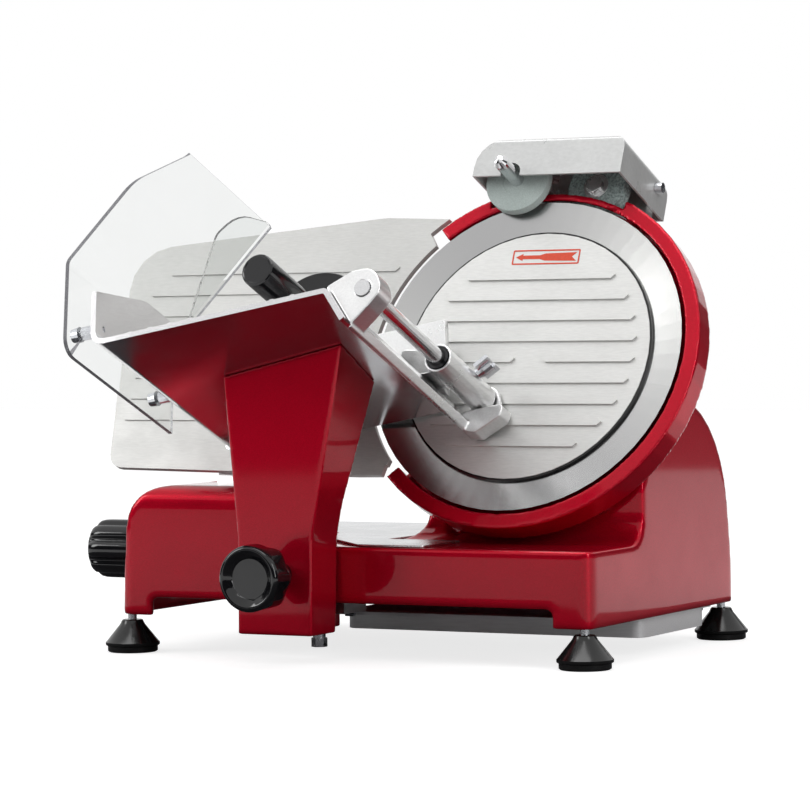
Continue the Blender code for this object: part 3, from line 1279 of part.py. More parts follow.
def sharpener():
    """The sharpener head on its post: cover, carrier, two stones and their push pins."""
    outline = rounded(
        [
            (SHARP_LEFT, SHARP_BOTTOM),
            (SHARP_RIGHT, SHARP_BOTTOM),
            (SHARP_RIGHT, SHARP_TOP, 0.009),
            (SHARP_LEFT, SHARP_TOP, 0.023),
        ],
        5,
    )
    sheet = SHARP_SHEET
    hollow = rounded(
        [
            (SHARP_LEFT + sheet, SHARP_BOTTOM - 0.01),
            (SHARP_RIGHT - sheet, SHARP_BOTTOM - 0.01),
            (SHARP_RIGHT - sheet, SHARP_TOP - sheet, 0.007),
            (SHARP_LEFT + sheet, SHARP_TOP - sheet, 0.021),
        ],
        5,
    )
    cover = prism("sharpener_cover", outline, SHARP_NEAR, SHARP_FAR, FRONT_VIEW, sharpener_frame, IVORY)
    side = rounded(
        [
            (SHARP_NEAR, 0.1),
            (SHARP_FAR, 0.1),
            (SHARP_FAR, SHARP_TOP, 0.014),
            (SHARP_NEAR, SHARP_TOP, 0.003),
        ],
        4,
    )
    keep_common(cover, prism("cover side", side, -0.1, 0.1, SIDE_VIEW, sharpener_frame))
    cavity = prism("cover hollow", hollow, SHARP_NEAR + sheet, SHARP_FAR - sheet, FRONT_VIEW, sharpener_frame)
    inner_side = rounded(
        [
            (SHARP_NEAR, 0.05),
            (SHARP_FAR - sheet, 0.05),
            (SHARP_FAR - sheet, SHARP_TOP - sheet, 0.012),
            (SHARP_NEAR, SHARP_TOP - sheet),
        ],
        4,
    )
    keep_common(cavity, prism("hollow side", inner_side, -0.1, 0.1, SIDE_VIEW, sharpener_frame))
    cut(cover, cavity)
    notch = rounded(
        [
            (DEBURR_X - NOTCH_HALF, SHARP_BOTTOM - 0.01),
            (DEBURR_X + NOTCH_HALF, SHARP_BOTTOM - 0.01),
            (DEBURR_X + NOTCH_HALF, DEBURR_Z + NOTCH_HALF, 0.0075),
            (DEBURR_X - NOTCH_HALF, DEBURR_Z + NOTCH_HALF, 0.0075),
        ],
        4,
    )
    cut(cover, prism("pin notch", notch, SHARP_NEAR - 0.01, SHARP_NEAR + 0.01, FRONT_VIEW, sharpener_frame))
    hole = (SHARP_RIGHT - 0.01, SHARP_SCREW_Y, SHARP_SCREW_Z)
    drill(cover, 0.0025, 0.02, hole, "right", sharpener_frame)
    low = (-CARRIER_HALF, POST_Y - CARRIER_HALF, SOCKET_TOP + SEAT)
    high = (CARRIER_HALF, POST_Y + CARRIER_BACK, SHARP_TOP - sheet - 2 * SEAT)
    carrier = box("sharpener_carrier", low, high, sharpener_frame, ALUMINIUM)
    bridge_low = (SHARP_LEFT + BRIDGE_INSET, POST_Y - 0.010, SHARP_BOTTOM - BRIDGE_LOW)
    bridge_high = (SHARP_RIGHT - sheet - SEAT, POST_Y + 0.002, SHARP_TOP - BRIDGE_TOP)
    join(carrier, box("carrier bridge", bridge_low, bridge_high, sharpener_frame))
    foot = (0, POST_Y, SOCKET_TOP + 0.019 - POST_LENGTH)
    join(carrier, cylinder("carrier post", POST_RADIUS, POST_LENGTH, foot, "up", sharpener_frame, None, 20))
    back = POST_Y + 0.012
    drill(carrier, DEBURR_PIN_RADIUS + RUNNING_FIT, 0.06, (DEBURR_X, 0.02, DEBURR_Z), "back", sharpener_frame)
    drill(carrier, GRIND_PIN_RADIUS + RUNNING_FIT, 0.06, (GRIND_X, 0.02, GRIND_Z), "back", sharpener_frame)
    hole = (SHARP_RIGHT - 0.0135, SHARP_SCREW_Y, SHARP_SCREW_Z)
    drill(carrier, 0.0024, 0.012, hole, "right", sharpener_frame)
    stones = [
        ("deburring_stone", DEBURR_X, DEBURR_Z, DEBURR_RADIUS, DEBURR_PIN_RADIUS, -0.0120, 0.0080),
        ("grinding_stone", GRIND_X, GRIND_Z, GRIND_RADIUS, GRIND_PIN_RADIUS, 0.0080, 0.0120),
    ]
    for name, x, z, radius, pin, near, width in stones:
        bore = pin + RUNNING_FIT
        ring = [(bore, -near), (radius, -near), (radius, -near - width), (bore, -near - width)]
        turned(name, ring, (x, 0, z), "front", sharpener_frame, STONE, 28)
    dome = [
        (0, 0.0480),
        (0.0035, 0.0468),
        (DEBURR_PIN_RADIUS, 0.0430),
        (DEBURR_PIN_RADIUS, -back),
        (0, -back),
    ]
    turned("deburring_pin", dome, (DEBURR_X, 0, DEBURR_Z), "front", sharpener_frame, STEEL, 20)
    pin = [
        (0, -0.0030),
        (0.0068, -0.0030),
        (0.0068, -0.0076),
        (GRIND_PIN_RADIUS, -0.0076),
        (GRIND_PIN_RADIUS, -back),
        (0, -back),
    ]
    turned("grinding_pin", pin, (GRIND_X, 0, GRIND_Z), "front", sharpener_frame, STEEL, 20)
    screw = [
        (0, 0.0065),
        (0.0040, 0.0060),
        (0.0040, SEAT),
        (0.0020, SEAT),
        (0.0020, -0.0110),
        (0, -0.0110),
    ]
    place = (SHARP_RIGHT, SHARP_SCREW_Y, SHARP_SCREW_Z)
    turned("sharpener_screw", screw, place, "right", sharpener_frame, STEEL, 16)


def tray_line(extra):
    """The middle line of the tray sheet, seen from the near end, moved down by extra."""
    floor = TRAY_FLOOR - TRAY_SHEET / 2
    tip = (TRAY_RIGHT + TRAY_FLANGE_OUT + extra * 0.46, floor - TRAY_FLANGE_DOWN - extra * 0.89)
    return rounded_line(
        [
            (TRAY_LEFT, TRAY_WALL_TOP),
            (TRAY_LEFT, floor, 0.009),
            (TRAY_RIGHT, floor, 0.004),
            tip,
        ],
        4,
    )


def rounded_line(corners, steps):
    """An open line with arcs at its inner corners."""
    line = rounded([*corners, (corners[0][0] + 1, corners[0][1] + 1)], steps)
    return line[:-1]


def sheet_mesh(name, line, near, far):
    """An open line run along the depth."""
    mesh = bpy.data.meshes.new(name)
    shape = bmesh.new()
    rows = [[shape.verts.new((p[0], y, p[1])) for p in line] for y in (near, far)]
    for k in range(len(line) - 1):
        shape.faces.new((rows[0][k], rows[0][k + 1], rows[1][k + 1], rows[1][k]))
    bmesh.ops.recalc_face_normals(shape, faces=shape.faces)
    shape.to_mesh(mesh)
    shape.free()
    return mesh


def folded_sheet(name, line, near, far, thickness, material=None):
    """A sheet folded along an open line, with its thickness even on both sides of it."""
    part = add(name, sheet_mesh(name, line, near, far), tray_frame, material)
    solid = part.modifiers.new("sheet", "SOLIDIFY")
    solid.thickness = thickness
    solid.offset = 0
    solid.use_even_offset = True
    return part


def food_tray():
    tray = folded_sheet("food_tray", tray_line(0), TRAY_NEAR, TRAY_FAR, TRAY_SHEET, ALUMINIUM)
    left = TRAY_LEFT + TRAY_RIDGE_LEFT
    right = TRAY_RIGHT - TRAY_RIDGE_RIGHT
    root = TRAY_FLOOR - 0.001
    crest = TRAY_FLOOR + TRAY_RIDGE_HEIGHT
    ridge = [(left, root)]
    pitch = (right - left) / TRAY_RIDGES
    for k in range(TRAY_RIDGES):
        start = left + k * pitch
        ridge += [
            (start + pitch * 0.30, root),
            (start + pitch * 0.42, crest),
            (start + pitch * 0.58, crest),
            (start + pitch * 0.70, root),
        ]
    ridge += [(right, root), (right, root - 0.001), (left, root - 0.001)]
    join(tray, prism("tray ridges", ridge, TRAY_NEAR + 0.0005, TRAY_FAR - 0.0005, FRONT_VIEW, tray_frame))
    slope = rounded(
        [
            (TRAY_NEAR - 0.01, TRAY_WALL_LOW - 0.003),
            (TRAY_NEAR + 0.072, TRAY_WALL_TOP, 0.03),
            (TRAY_FAR - 0.018, TRAY_WALL_TOP, 0.004),
            (TRAY_FAR + 0.01, TRAY_WALL_TOP - 0.026),
            (TRAY_FAR + 0.01, 0.2),
            (TRAY_NEAR - 0.01, 0.2),
        ],
        4,
    )
    low = TRAY_LEFT - 0.02
    cut(tray, prism("wall slope", slope, low, TRAY_LEFT + 0.02, SIDE_VIEW, tray_frame))
    for y, w in GUARD_SCREWS:
        drill(tray, 0.0022, 0.012, (TRAY_LEFT - 0.006, y, w), "right", tray_frame)


def hand_guard():
    """The bent clear sheet outside the tray's left wall, with an end flange on its slanted half."""
    top = (
        GUARD_U + GUARD_SLANT * math.sin(GUARD_LEAN),
        GUARD_FOLD + GUARD_SLANT * math.cos(GUARD_LEAN),
    )
    line = rounded_line([(GUARD_U, GUARD_BOTTOM), (GUARD_U, GUARD_FOLD, 0.008), top], 4)
    guard = folded_sheet("hand_guard", line, GUARD_NEAR, GUARD_FAR, GUARD_SHEET, CLEAR)
    start = GUARD_FOLD + GUARD_FLANGE_START
    flange = rounded(
        [
            (GUARD_U + GUARD_FLANGE_START - 0.001, start),
            (GUARD_U + GUARD_FLANGE_BEND_OUT, GUARD_FOLD + GUARD_FLANGE_BEND_UP, 0.014),
            (GUARD_U + GUARD_FLANGE_TIP_OUT, GUARD_FOLD + GUARD_FLANGE_TIP_UP, 0.020),
            (top[0], top[1] + 0.0030, 0.006),
            (top[0] + 0.0005, top[1] - 0.0005),
            (GUARD_U + GUARD_FLANGE_START + 0.001, start),
        ],
        4,
    )
    near = GUARD_FAR - GUARD_SHEET
    join(guard, prism("guard flange", flange, near, GUARD_FAR - 0.0001, FRONT_VIEW, tray_frame))
    outline = rounded(
        [
            (GUARD_FAR + 0.01, GUARD_BOTTOM),
            (GUARD_FAR + 0.01, 0.2),
            (GUARD_NEAR + GUARD_CHAMFER, 0.2),
            (GUARD_NEAR + GUARD_CHAMFER, top[1], 0.010),
            (GUARD_NEAR, top[1] - GUARD_CHAMFER, 0.016),
            (GUARD_NEAR, GUARD_BOTTOM, 0.012),
        ],
        5,
    )
    keep_common(guard, prism("guard outline", outline, GUARD_U - 0.02, 0, SIDE_VIEW, tray_frame))
    for name, (y, w) in zip(("guard_screw_near", "guard_screw_far"), GUARD_SCREWS):
        outside = GUARD_U - GUARD_SHEET / 2
        inside = GUARD_U + GUARD_SHEET / 2
        wall = TRAY_LEFT - TRAY_SHEET / 2
        drill(guard, 0.0026, 0.02, (GUARD_U - 0.01, y, w), "right", tray_frame)
        profile = [
            (0, -(outside - SEAT - 0.0070)),
            (0.0050, -(outside - SEAT - 0.0062)),
            (0.0058, -(outside - SEAT)),
            (0.0022, -(outside - SEAT)),
            (0.0022, -(inside + SEAT)),
            (0.0050, -(inside + SEAT)),
            (0.0050, -(wall - SEAT)),
            (0.0018, -(wall - SEAT)),
            (0.0018, -(wall + 0.0030)),
            (0, -(wall + 0.0030)),
        ]
        turned(name, profile, (0, y, w), "left", tray_frame, STEEL, 16)


def rod_bracket():
    """The casting on the tray's right flange: near lug, long strip, and the cradle by the knife."""
    lug = rounded(
        [
            (TRAY_RIGHT - 0.002, TRAY_FLOOR + 0.0040, 0.002),
            (ROD_U - LUG_REACH_LEFT, ROD_W + LUG_RISE, 0.008),
            (ROD_U + LUG_TOP_RIGHT, ROD_W + LUG_RISE - 0.0005, 0.012),
            (ROD_U + LUG_REACH_RIGHT, ROD_W - 0.0030, 0.010),
            (ROD_U + 0.0040, ROD_W - LUG_CHIN, 0.008),
            (ROD_U - 0.0105, LUG_BOTTOM),
            (ROD_U - 0.0180, LUG_BOTTOM),
        ],
        4,
    )
    bracket = prism("rod_bracket", lug, LUG_NEAR, LUG_FAR, FRONT_VIEW, tray_frame, ALUMINIUM)
    strip = [
        (ROD_U - 0.0190, STRIP_SIDE),
        (ROD_U - 0.0150, STRIP_TOP),
        (ROD_U - 0.0065, STRIP_SIDE),
        (ROD_U - 0.0100, STRIP_BOTTOM),
        (ROD_U - 0.0165, STRIP_BOTTOM),
    ]
    join(bracket, prism("bracket strip", strip, LUG_NEAR + 0.001, END_FAR, FRONT_VIEW, tray_frame))
    reach = HUB_RADIUS + 0.0008
    cradle = rounded(
        [
            (ROD_U - 0.0170, STRIP_TOP),
            (ROD_U - 0.0090, ROD_W - reach),
            (ROD_U + CRADLE_RIGHT, ROD_W - reach, 0.003),
            (ROD_U + CRADLE_RIGHT - 0.0040, STRIP_SIDE, 0.003),
            (ROD_U - 0.0020, CRADLE_BOTTOM, 0.002),
            (ROD_U - 0.0150, STRIP_BOTTOM + 0.0005),
        ],
        3,
    )
    join(bracket, prism("bracket cradle", cradle, CRADLE_NEAR, END_FAR, FRONT_VIEW, tray_frame))
    plate = rounded(
        [
            (ROD_U - END_HALF, STRIP_SIDE + 0.001),
            (ROD_U - END_HALF, ROD_W + END_HALF, END_HALF - 0.0005),
            (ROD_U + END_HALF, ROD_W + END_HALF, END_HALF - 0.0005),
            (ROD_U + END_HALF + 0.0050, STRIP_SIDE + 0.001, 0.002),
        ],
        5,
    )
    join(bracket, prism("bracket end", plate, END_NEAR, END_FAR, FRONT_VIEW, tray_frame))
    floor = TRAY_FLOOR - TRAY_SHEET / 2
    sheet = TRAY_SHEET + 2 * SEAT
    clearance = folded_sheet("tray clearance", tray_line(0.004), TRAY_NEAR - 0.01, TRAY_FAR + 0.01, sheet)
    cut(bracket, clearance)
    inside = [
        (TRAY_RIGHT - 0.030, floor),
        (TRAY_RIGHT + 0.0002, floor),
        (TRAY_RIGHT + TRAY_FLANGE_OUT, floor - TRAY_FLANGE_DOWN),
        (TRAY_RIGHT + TRAY_FLANGE_OUT - 0.002, floor - TRAY_FLANGE_DOWN - 0.020),
        (TRAY_RIGHT - 0.030, floor - TRAY_FLANGE_DOWN - 0.020),
    ]
    cut(bracket, prism("under tray", inside, -0.3, 0.1, FRONT_VIEW, tray_frame))
    drill(bracket, ROD_RADIUS + SEAT, 0.3, (ROD_U, LUG_NEAR - 0.01, ROD_W), "back", tray_frame, 24)
    start = (ROD_U, LUG_NEAR - 0.0012, ROD_W)
    length = END_FAR - LUG_NEAR + 0.001
    cylinder("pusher_rod", ROD_RADIUS, length, start, "back", tray_frame, STEEL)


def pusher():
    """The bush that slides on the rod, and the arm, plate and handle that swing round it."""
    bush = [
        (ROD_RADIUS + RUNNING_FIT, -HUB_NEAR + 0.0004),
        (BUSH_RADIUS, -HUB_NEAR + 0.0004),
        (BUSH_RADIUS, -HUB_FAR),
        (ROD_RADIUS + RUNNING_FIT, -HUB_FAR),
    ]
    turned("pusher_bush", bush, (0, 0, 0), "front", pusher_frame, BLACK, 18)
    hub = circle(HUB_RADIUS, 20)
    arm = prism("pusher_arm", hub, HUB_NEAR + SEAT, HUB_FAR, FRONT_VIEW, pusher_frame, ALUMINIUM)
    plate_u = PLATE_RIGHT - ROD_U
    web = rounded(
        [
            (0.0030, 0.0040),
            (0.0030, 0.0105),
            (plate_u + 0.0040, 0.0230, 0.012),
            (plate_u - 0.0240, 0.0300, 0.003),
            (plate_u - 0.0240, 0.0060, 0.003),
            (plate_u + 0.0060, 0.0060, 0.004),
        ],
        3,
    )
    join(arm, prism("arm web", web, WEB_NEAR, PLATE_NEAR - SEAT, FRONT_VIEW, pusher_frame))
    drill(arm, BUSH_RADIUS + RUNNING_FIT, 0.2, (0, -0.15, 0), "back", pusher_frame, 18)
    wing_frame = frame("wing_frame", pusher_frame, (0, WING_Y, 0), Matrix.Rotation(-WING_LEAN, 3, "Y"))
    drill(arm, 0.0022, 0.02, (BUSH_RADIUS - 0.001, 0, 0), "right", wing_frame)
    stem = [
        (0, HUB_RADIUS + 0.0130),
        (0.0062, HUB_RADIUS + 0.0130),
        (0.0062, HUB_RADIUS + 0.0060),
        (0.0040, HUB_RADIUS + SEAT),
        (0.0018, HUB_RADIUS + SEAT),
        (0.0018, BUSH_RADIUS + RUNNING_FIT + 0.0002),
        (0, BUSH_RADIUS + RUNNING_FIT + 0.0002),
    ]
    wing = turned("wing_screw", stem, (0, 0, 0), "right", wing_frame, STEEL, 16)
    for side in (-1, 1):
        low = (HUB_RADIUS + 0.0030, min(side * 0.003, side * 0.0115), -0.0015)
        high = (HUB_RADIUS + WING_REACH, max(side * 0.003, side * 0.0115), 0.0015)
        join(wing, box("wing", low, high, wing_frame))
    pusher_plate()
    handle = (HANDLE_U - ROD_U, 0, HANDLE_W - ROD_W)
    rod = [
        (0, -HANDLE_FAR + 0.030),
        (STEM_RADIUS, -HANDLE_FAR + 0.030),
        (STEM_RADIUS, -PLATE_NEAR + SEAT),
        (0, -PLATE_NEAR + SEAT),
    ]
    turned("pusher_stem", rod, handle, "front", pusher_frame, STEEL, 20)
    bore = STEM_RADIUS + SEAT
    shield = [
        (bore, -HANDLE_FAR - SEAT),
        (0.0300, -HANDLE_FAR - SEAT),
        (SHIELD_RADIUS - 0.001, -HANDLE_FAR + 0.0020),
        (SHIELD_RADIUS, -HANDLE_FAR - 0.0005),
        (0.0300, -HANDLE_FAR - SEAT - 0.0035),
        (bore, -HANDLE_FAR - SEAT - 0.0035),
    ]
    disc = turned("pusher_shield", shield, handle, "front", pusher_frame, BLACK, 28)
    floor = TRAY_FLOOR + 0.0025 - ROD_W
    cut(disc, box("shield floor", (-0.2, -0.2, floor - 0.05), (0.1, 0, floor), pusher_frame))
    grip = [
        (0, -HANDLE_NEAR),
        (HANDLE_RADIUS - 0.0012, -HANDLE_NEAR),
        (HANDLE_RADIUS, -HANDLE_NEAR - 0.0012),
        (HANDLE_RADIUS, -HANDLE_FAR),
        (bore, -HANDLE_FAR),
        (bore, -HANDLE_FAR + 0.032),
        (0, -HANDLE_FAR + 0.032),
    ]
    turned("pusher_handle", grip, handle, "front", pusher_frame, BLACK, 22)


def pusher_plate():
    """The toothed plate that holds the food: its far face is a row of upright teeth."""
    left = PLATE_LEFT - ROD_U
    right = PLATE_RIGHT - ROD_U
    bottom = TRAY_FLOOR + 0.0020 - ROD_W
    top = HANDLE_W - ROD_W + 0.0300
    back = PLATE_NEAR + PLATE_THICKNESS
    pitch = (right - left) / PLATE_TEETH
    outline = [(left, PLATE_NEAR), (right, PLATE_NEAR), (right, back)]
    for k in range(PLATE_TEETH):
        start = right - k * pitch
        outline.append((start - pitch / 2, back + PLATE_TOOTH_DEPTH))
        outline.append((start - pitch, back))
    prism("pusher_plate", outline, bottom, top, PLAN_VIEW, pusher_frame, ALUMINIUM)


def switch_and_gland():
    """The switch plate with its two buttons on the left end, and the cable inlet at the back."""
    wide = SWITCH_HALF_WIDTH
    high = SWITCH_HALF_HEIGHT
    corners = [(-wide, -high, 0.004), (wide, -high, 0.004), (wide, high, 0.004), (-wide, high, 0.004)]
    outline = rounded(corners, 3)
    turn = Matrix(((0, 0, -1), (0, -1, 0), (-1, 0, 0)))
    holes = [circle(BUTTON_RADIUS + RUNNING_FIT, 20, (0, y)) for y in BUTTON_ROWS]
    mesh = prism_mesh("switch_plate", [outline, *holes], SEAT, SEAT + SWITCH_SHEET, PLAN_VIEW)
    mesh.transform(turn.to_4x4())
    add("switch_plate", mesh, switch_frame, BLACK)
    for name, y, material in zip(("start_button", "stop_button"), BUTTON_ROWS, (GREEN, RED_BUTTON)):
        profile = [
            (0, 0.0078),
            (BUTTON_RADIUS - 0.001, 0.0075),
            (BUTTON_RADIUS, 0.0068),
            (BUTTON_RADIUS, -0.0060),
            (0, -0.0060),
        ]
        turned(name, profile, (0, -y, 0), "left", switch_frame, material, 20)
    back_wall = BASE_BACK - BASE_DRAFT * (GLAND_Z - BASE_BOTTOM) / DECK_HEIGHT
    gland = [
        (GLAND_BORE, GLAND_LENGTH),
        (0.0085, GLAND_LENGTH),
        (GLAND_RADIUS, GLAND_LENGTH - 0.006),
        (GLAND_RADIUS, 0.0030),
        (GLAND_THREAD, 0.0030),
        (GLAND_THREAD, -0.012),
        (GLAND_BORE, -0.012),
    ]
    turned("cable_gland", gland, (GLAND_X, back_wall, GLAND_Z), "back", slicer, BLACK, 16)


def centre_on_base():
    """Put the middle of the whole machine over the origin, with the feet on the ground."""
    bpy.context.view_layer.update()
    corners = []
    for part in PARTS.objects:
        if part.type == "MESH":
            shape = part.evaluated_get(bpy.context.evaluated_depsgraph_get())
            corners += [part.matrix_world @ Vector(corner) for corner in shape.bound_box]
    low = Vector([min(corner[k] for corner in corners) for k in range(3)])
    high = Vector([max(corner[k] for corner in corners) for k in range(3)])
    slicer.location = (-(low.x + high.x) / 2, -(low.y + high.y) / 2, -low.z)
    bpy.context.view_layer.update()


base_casting()
feet()
bottom_cover()
receiving_tray()
guides()
carriage_slide()
carriage_arm()
arm_bolt()
lock_knob()
index_knob()
gauge_plate()
gauge_bracket()
ring_guard()
ring_bolts()
knife()
drive()
knife_cover()
sharpener()
food_tray()
hand_guard()
rod_bracket()
pusher()
switch_and_gland()
centre_on_base()
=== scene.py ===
import math

import bpy
from mathutils import Matrix, Vector


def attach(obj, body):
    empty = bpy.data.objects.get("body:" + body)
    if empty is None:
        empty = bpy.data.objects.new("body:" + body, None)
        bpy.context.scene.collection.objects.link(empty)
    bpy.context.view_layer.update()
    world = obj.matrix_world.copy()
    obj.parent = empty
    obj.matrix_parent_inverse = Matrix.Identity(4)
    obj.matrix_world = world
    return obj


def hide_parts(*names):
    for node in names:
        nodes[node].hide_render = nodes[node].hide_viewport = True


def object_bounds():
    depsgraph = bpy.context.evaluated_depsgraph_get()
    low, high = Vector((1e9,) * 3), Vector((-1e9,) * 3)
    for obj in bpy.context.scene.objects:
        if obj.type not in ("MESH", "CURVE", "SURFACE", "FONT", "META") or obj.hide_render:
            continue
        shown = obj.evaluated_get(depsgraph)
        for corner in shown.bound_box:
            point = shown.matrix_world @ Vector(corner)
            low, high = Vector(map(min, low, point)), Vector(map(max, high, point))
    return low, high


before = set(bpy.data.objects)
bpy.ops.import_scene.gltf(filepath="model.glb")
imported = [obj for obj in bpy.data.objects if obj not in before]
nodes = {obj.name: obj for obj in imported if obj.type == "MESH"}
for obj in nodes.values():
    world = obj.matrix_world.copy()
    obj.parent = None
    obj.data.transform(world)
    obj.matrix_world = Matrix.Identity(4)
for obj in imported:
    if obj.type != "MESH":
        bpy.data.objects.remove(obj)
cad_low, cad_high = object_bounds()
scene = bpy.context.scene
bpy.ops.object.select_all(action="DESELECT")

# Camera.
# The photographer stands to the right of the machine's front, at almost the height of its middle
# and some way off, so that its upright lines stay upright. The view is set by the knife's centre.
PHOTO_SIZE = 810
PHOTO_FOCAL = 3464
PHOTO_AZIMUTH = math.radians(27.8)
PHOTO_ELEVATION = math.radians(1.44)
PHOTO_ROLL = math.radians(-0.69)
KNIFE_IN_VIEW = Vector((0.0900, 0.0380, -2.588))
SENSOR = 36.0

bench = Matrix.Translation((0.111763, 0.037107, 0))
knife_seat = bench @ Matrix.Translation((0, 0, 0.223183)) @ Matrix.Rotation(math.radians(-24), 4, "X")
tray_seat = knife_seat @ Matrix.Rotation(math.radians(-12), 4, "Y")

away = Vector((
    math.sin(PHOTO_AZIMUTH) * math.cos(PHOTO_ELEVATION),
    -math.cos(PHOTO_AZIMUTH) * math.cos(PHOTO_ELEVATION),
    math.sin(PHOTO_ELEVATION),
))
right = Vector((math.cos(PHOTO_AZIMUTH), math.sin(PHOTO_AZIMUTH), 0))
up = away.cross(right)
level = Matrix((right, up, away)).transposed()
turn = level @ Matrix.Rotation(PHOTO_ROLL, 3, "Z")
camera_data = bpy.data.cameras.new("camera")
camera_data.sensor_width = SENSOR
camera_data.sensor_fit = "HORIZONTAL"
camera_data.lens = PHOTO_FOCAL / PHOTO_SIZE * SENSOR
camera = bpy.data.objects.new("camera", camera_data)
camera_place = knife_seat.to_translation() - turn @ KNIFE_IN_VIEW
camera.matrix_world = Matrix.Translation(camera_place) @ turn.to_4x4()
scene.collection.objects.link(camera)
scene.camera = camera
scene.view_settings.view_transform = "Standard"

# Studio.
# A white room over a white table. A dark curtain round the front of the room and a dark mat under the
# machine are seen in its polished pieces alone, as the dark studio is in the photograph.
SKY_FILL = 0.50
CURTAIN_RADIUS = 3.2
CURTAIN_HEIGHT = 1.35
CURTAIN_SINK = 0.05
CURTAIN_GAP_START = 172
CURTAIN_GAP_END = 262
MAT_RADIUS = 0.55
MAT_DROP = 0.0001
TABLE_SIZE = 12
TABLE_DROP = 0.0002

world = bpy.data.worlds.new("studio")
scene.world = world
world.use_nodes = True
tree = world.node_tree
tree.nodes.clear()
output = tree.nodes.new("ShaderNodeOutputWorld")
seen = tree.nodes.new("ShaderNodeBackground")
seen.inputs["Color"].default_value = (1, 1, 1, 1)
fill = tree.nodes.new("ShaderNodeBackground")
fill.inputs["Strength"].default_value = SKY_FILL
place = tree.nodes.new("ShaderNodeTexCoord")
split = tree.nodes.new("ShaderNodeSeparateXYZ")
ramp = tree.nodes.new("ShaderNodeValToRGB")
ramp.color_ramp.elements[0].position = 0.30
ramp.color_ramp.elements[0].color = (0.50, 0.50, 0.50, 1)
ramp.color_ramp.elements[1].position = 0.75
ramp.color_ramp.elements[1].color = (1, 1, 1, 1)
raise_half = tree.nodes.new("ShaderNodeMath")
raise_half.operation = "MULTIPLY_ADD"
raise_half.inputs[1].default_value = 0.5
raise_half.inputs[2].default_value = 0.5
rays = tree.nodes.new("ShaderNodeLightPath")
seen_or_through = tree.nodes.new("ShaderNodeMath")
seen_or_through.operation = "MAXIMUM"
seen_at_all = tree.nodes.new("ShaderNodeMath")
seen_at_all.operation = "MAXIMUM"
mix = tree.nodes.new("ShaderNodeMixShader")
tree.links.new(place.outputs["Generated"], split.inputs[0])
tree.links.new(split.outputs["Z"], raise_half.inputs[0])
tree.links.new(raise_half.outputs[0], ramp.inputs[0])
tree.links.new(ramp.outputs["Color"], fill.inputs["Color"])
tree.links.new(rays.outputs["Is Camera Ray"], seen_or_through.inputs[0])
tree.links.new(rays.outputs["Is Transmission Ray"], seen_or_through.inputs[1])
tree.links.new(seen_or_through.outputs[0], seen_at_all.inputs[0])
tree.links.new(rays.outputs["Is Glossy Ray"], seen_at_all.inputs[1])
tree.links.new(seen_at_all.outputs[0], mix.inputs[0])
tree.links.new(fill.outputs[0], mix.inputs[1])
tree.links.new(seen.outputs[0], mix.inputs[2])
tree.links.new(mix.outputs[0], output.inputs[0])

bpy.ops.mesh.primitive_cylinder_add(
    vertices=96, radius=CURTAIN_RADIUS, depth=CURTAIN_HEIGHT, end_fill_type="NOTHING",
    location=(0, 0, CURTAIN_HEIGHT / 2 - CURTAIN_SINK),
)
curtain = bpy.context.active_object
curtain.name = "dark_curtain"
bpy.ops.object.mode_set(mode="EDIT")
bpy.ops.mesh.select_mode(type="FACE")
bpy.ops.mesh.select_all(action="DESELECT")
bpy.ops.object.mode_set(mode="OBJECT")
for face in curtain.data.polygons:
    bearing = math.degrees(math.atan2(face.center.x, -face.center.y)) % 360
    face.select = CURTAIN_GAP_START < bearing < CURTAIN_GAP_END
bpy.ops.object.mode_set(mode="EDIT")
bpy.ops.mesh.delete(type="FACE")
bpy.ops.mesh.select_mode(type="VERT")
bpy.ops.object.mode_set(mode="OBJECT")
curtain.visible_camera = False
curtain.visible_diffuse = False
curtain.visible_transmission = False
curtain.visible_shadow = False
bpy.ops.mesh.primitive_circle_add(
    vertices=96, radius=MAT_RADIUS, fill_type="NGON", location=(0, 0, cad_low[2] - MAT_DROP)
)
mat = bpy.context.active_object
mat.name = "dark_mat"
mat.visible_camera = False
mat.visible_diffuse = False
mat.visible_transmission = False
mat.visible_shadow = False
cloth = bpy.data.materials.new("dark_curtain_cloth")
cloth.use_nodes = True
cloth.node_tree.nodes["Principled BSDF"].inputs["Base Color"].default_value = (0.05, 0.05, 0.055, 1)
cloth.node_tree.nodes["Principled BSDF"].inputs["Roughness"].default_value = 0.9
curtain.data.materials.append(cloth)
mat.data.materials.append(cloth)

bpy.ops.mesh.primitive_plane_add(size=TABLE_SIZE, location=(0, 0, cad_low[2] - TABLE_DROP))
floor = bpy.context.active_object
floor.name = "floor"
paper = bpy.data.materials.new("white_table")
paper.use_nodes = True
tree = paper.node_tree
surface = tree.nodes["Principled BSDF"]
surface.inputs["Base Color"].default_value = (0.42, 0.42, 0.42, 1)
surface.inputs["Roughness"].default_value = 0.7
surface.inputs["Specular IOR Level"].default_value = 0.2
surface.inputs["Emission Color"].default_value = (1, 1, 1, 1)
rays = tree.nodes.new("ShaderNodeLightPath")
seen_rays = tree.nodes.new("ShaderNodeMath")
seen_rays.operation = "MAXIMUM"
all_rays = tree.nodes.new("ShaderNodeMath")
all_rays.operation = "MAXIMUM"
glow = tree.nodes.new("ShaderNodeMath")
glow.operation = "MULTIPLY"
glow.inputs[1].default_value = 0.78
tree.links.new(rays.outputs["Is Camera Ray"], seen_rays.inputs[0])
tree.links.new(rays.outputs["Is Transmission Ray"], seen_rays.inputs[1])
tree.links.new(seen_rays.outputs[0], all_rays.inputs[0])
tree.links.new(rays.outputs["Is Glossy Ray"], all_rays.inputs[1])
tree.links.new(all_rays.outputs[0], glow.inputs[0])
tree.links.new(glow.outputs[0], surface.inputs["Emission Strength"])
floor.data.materials.append(paper)


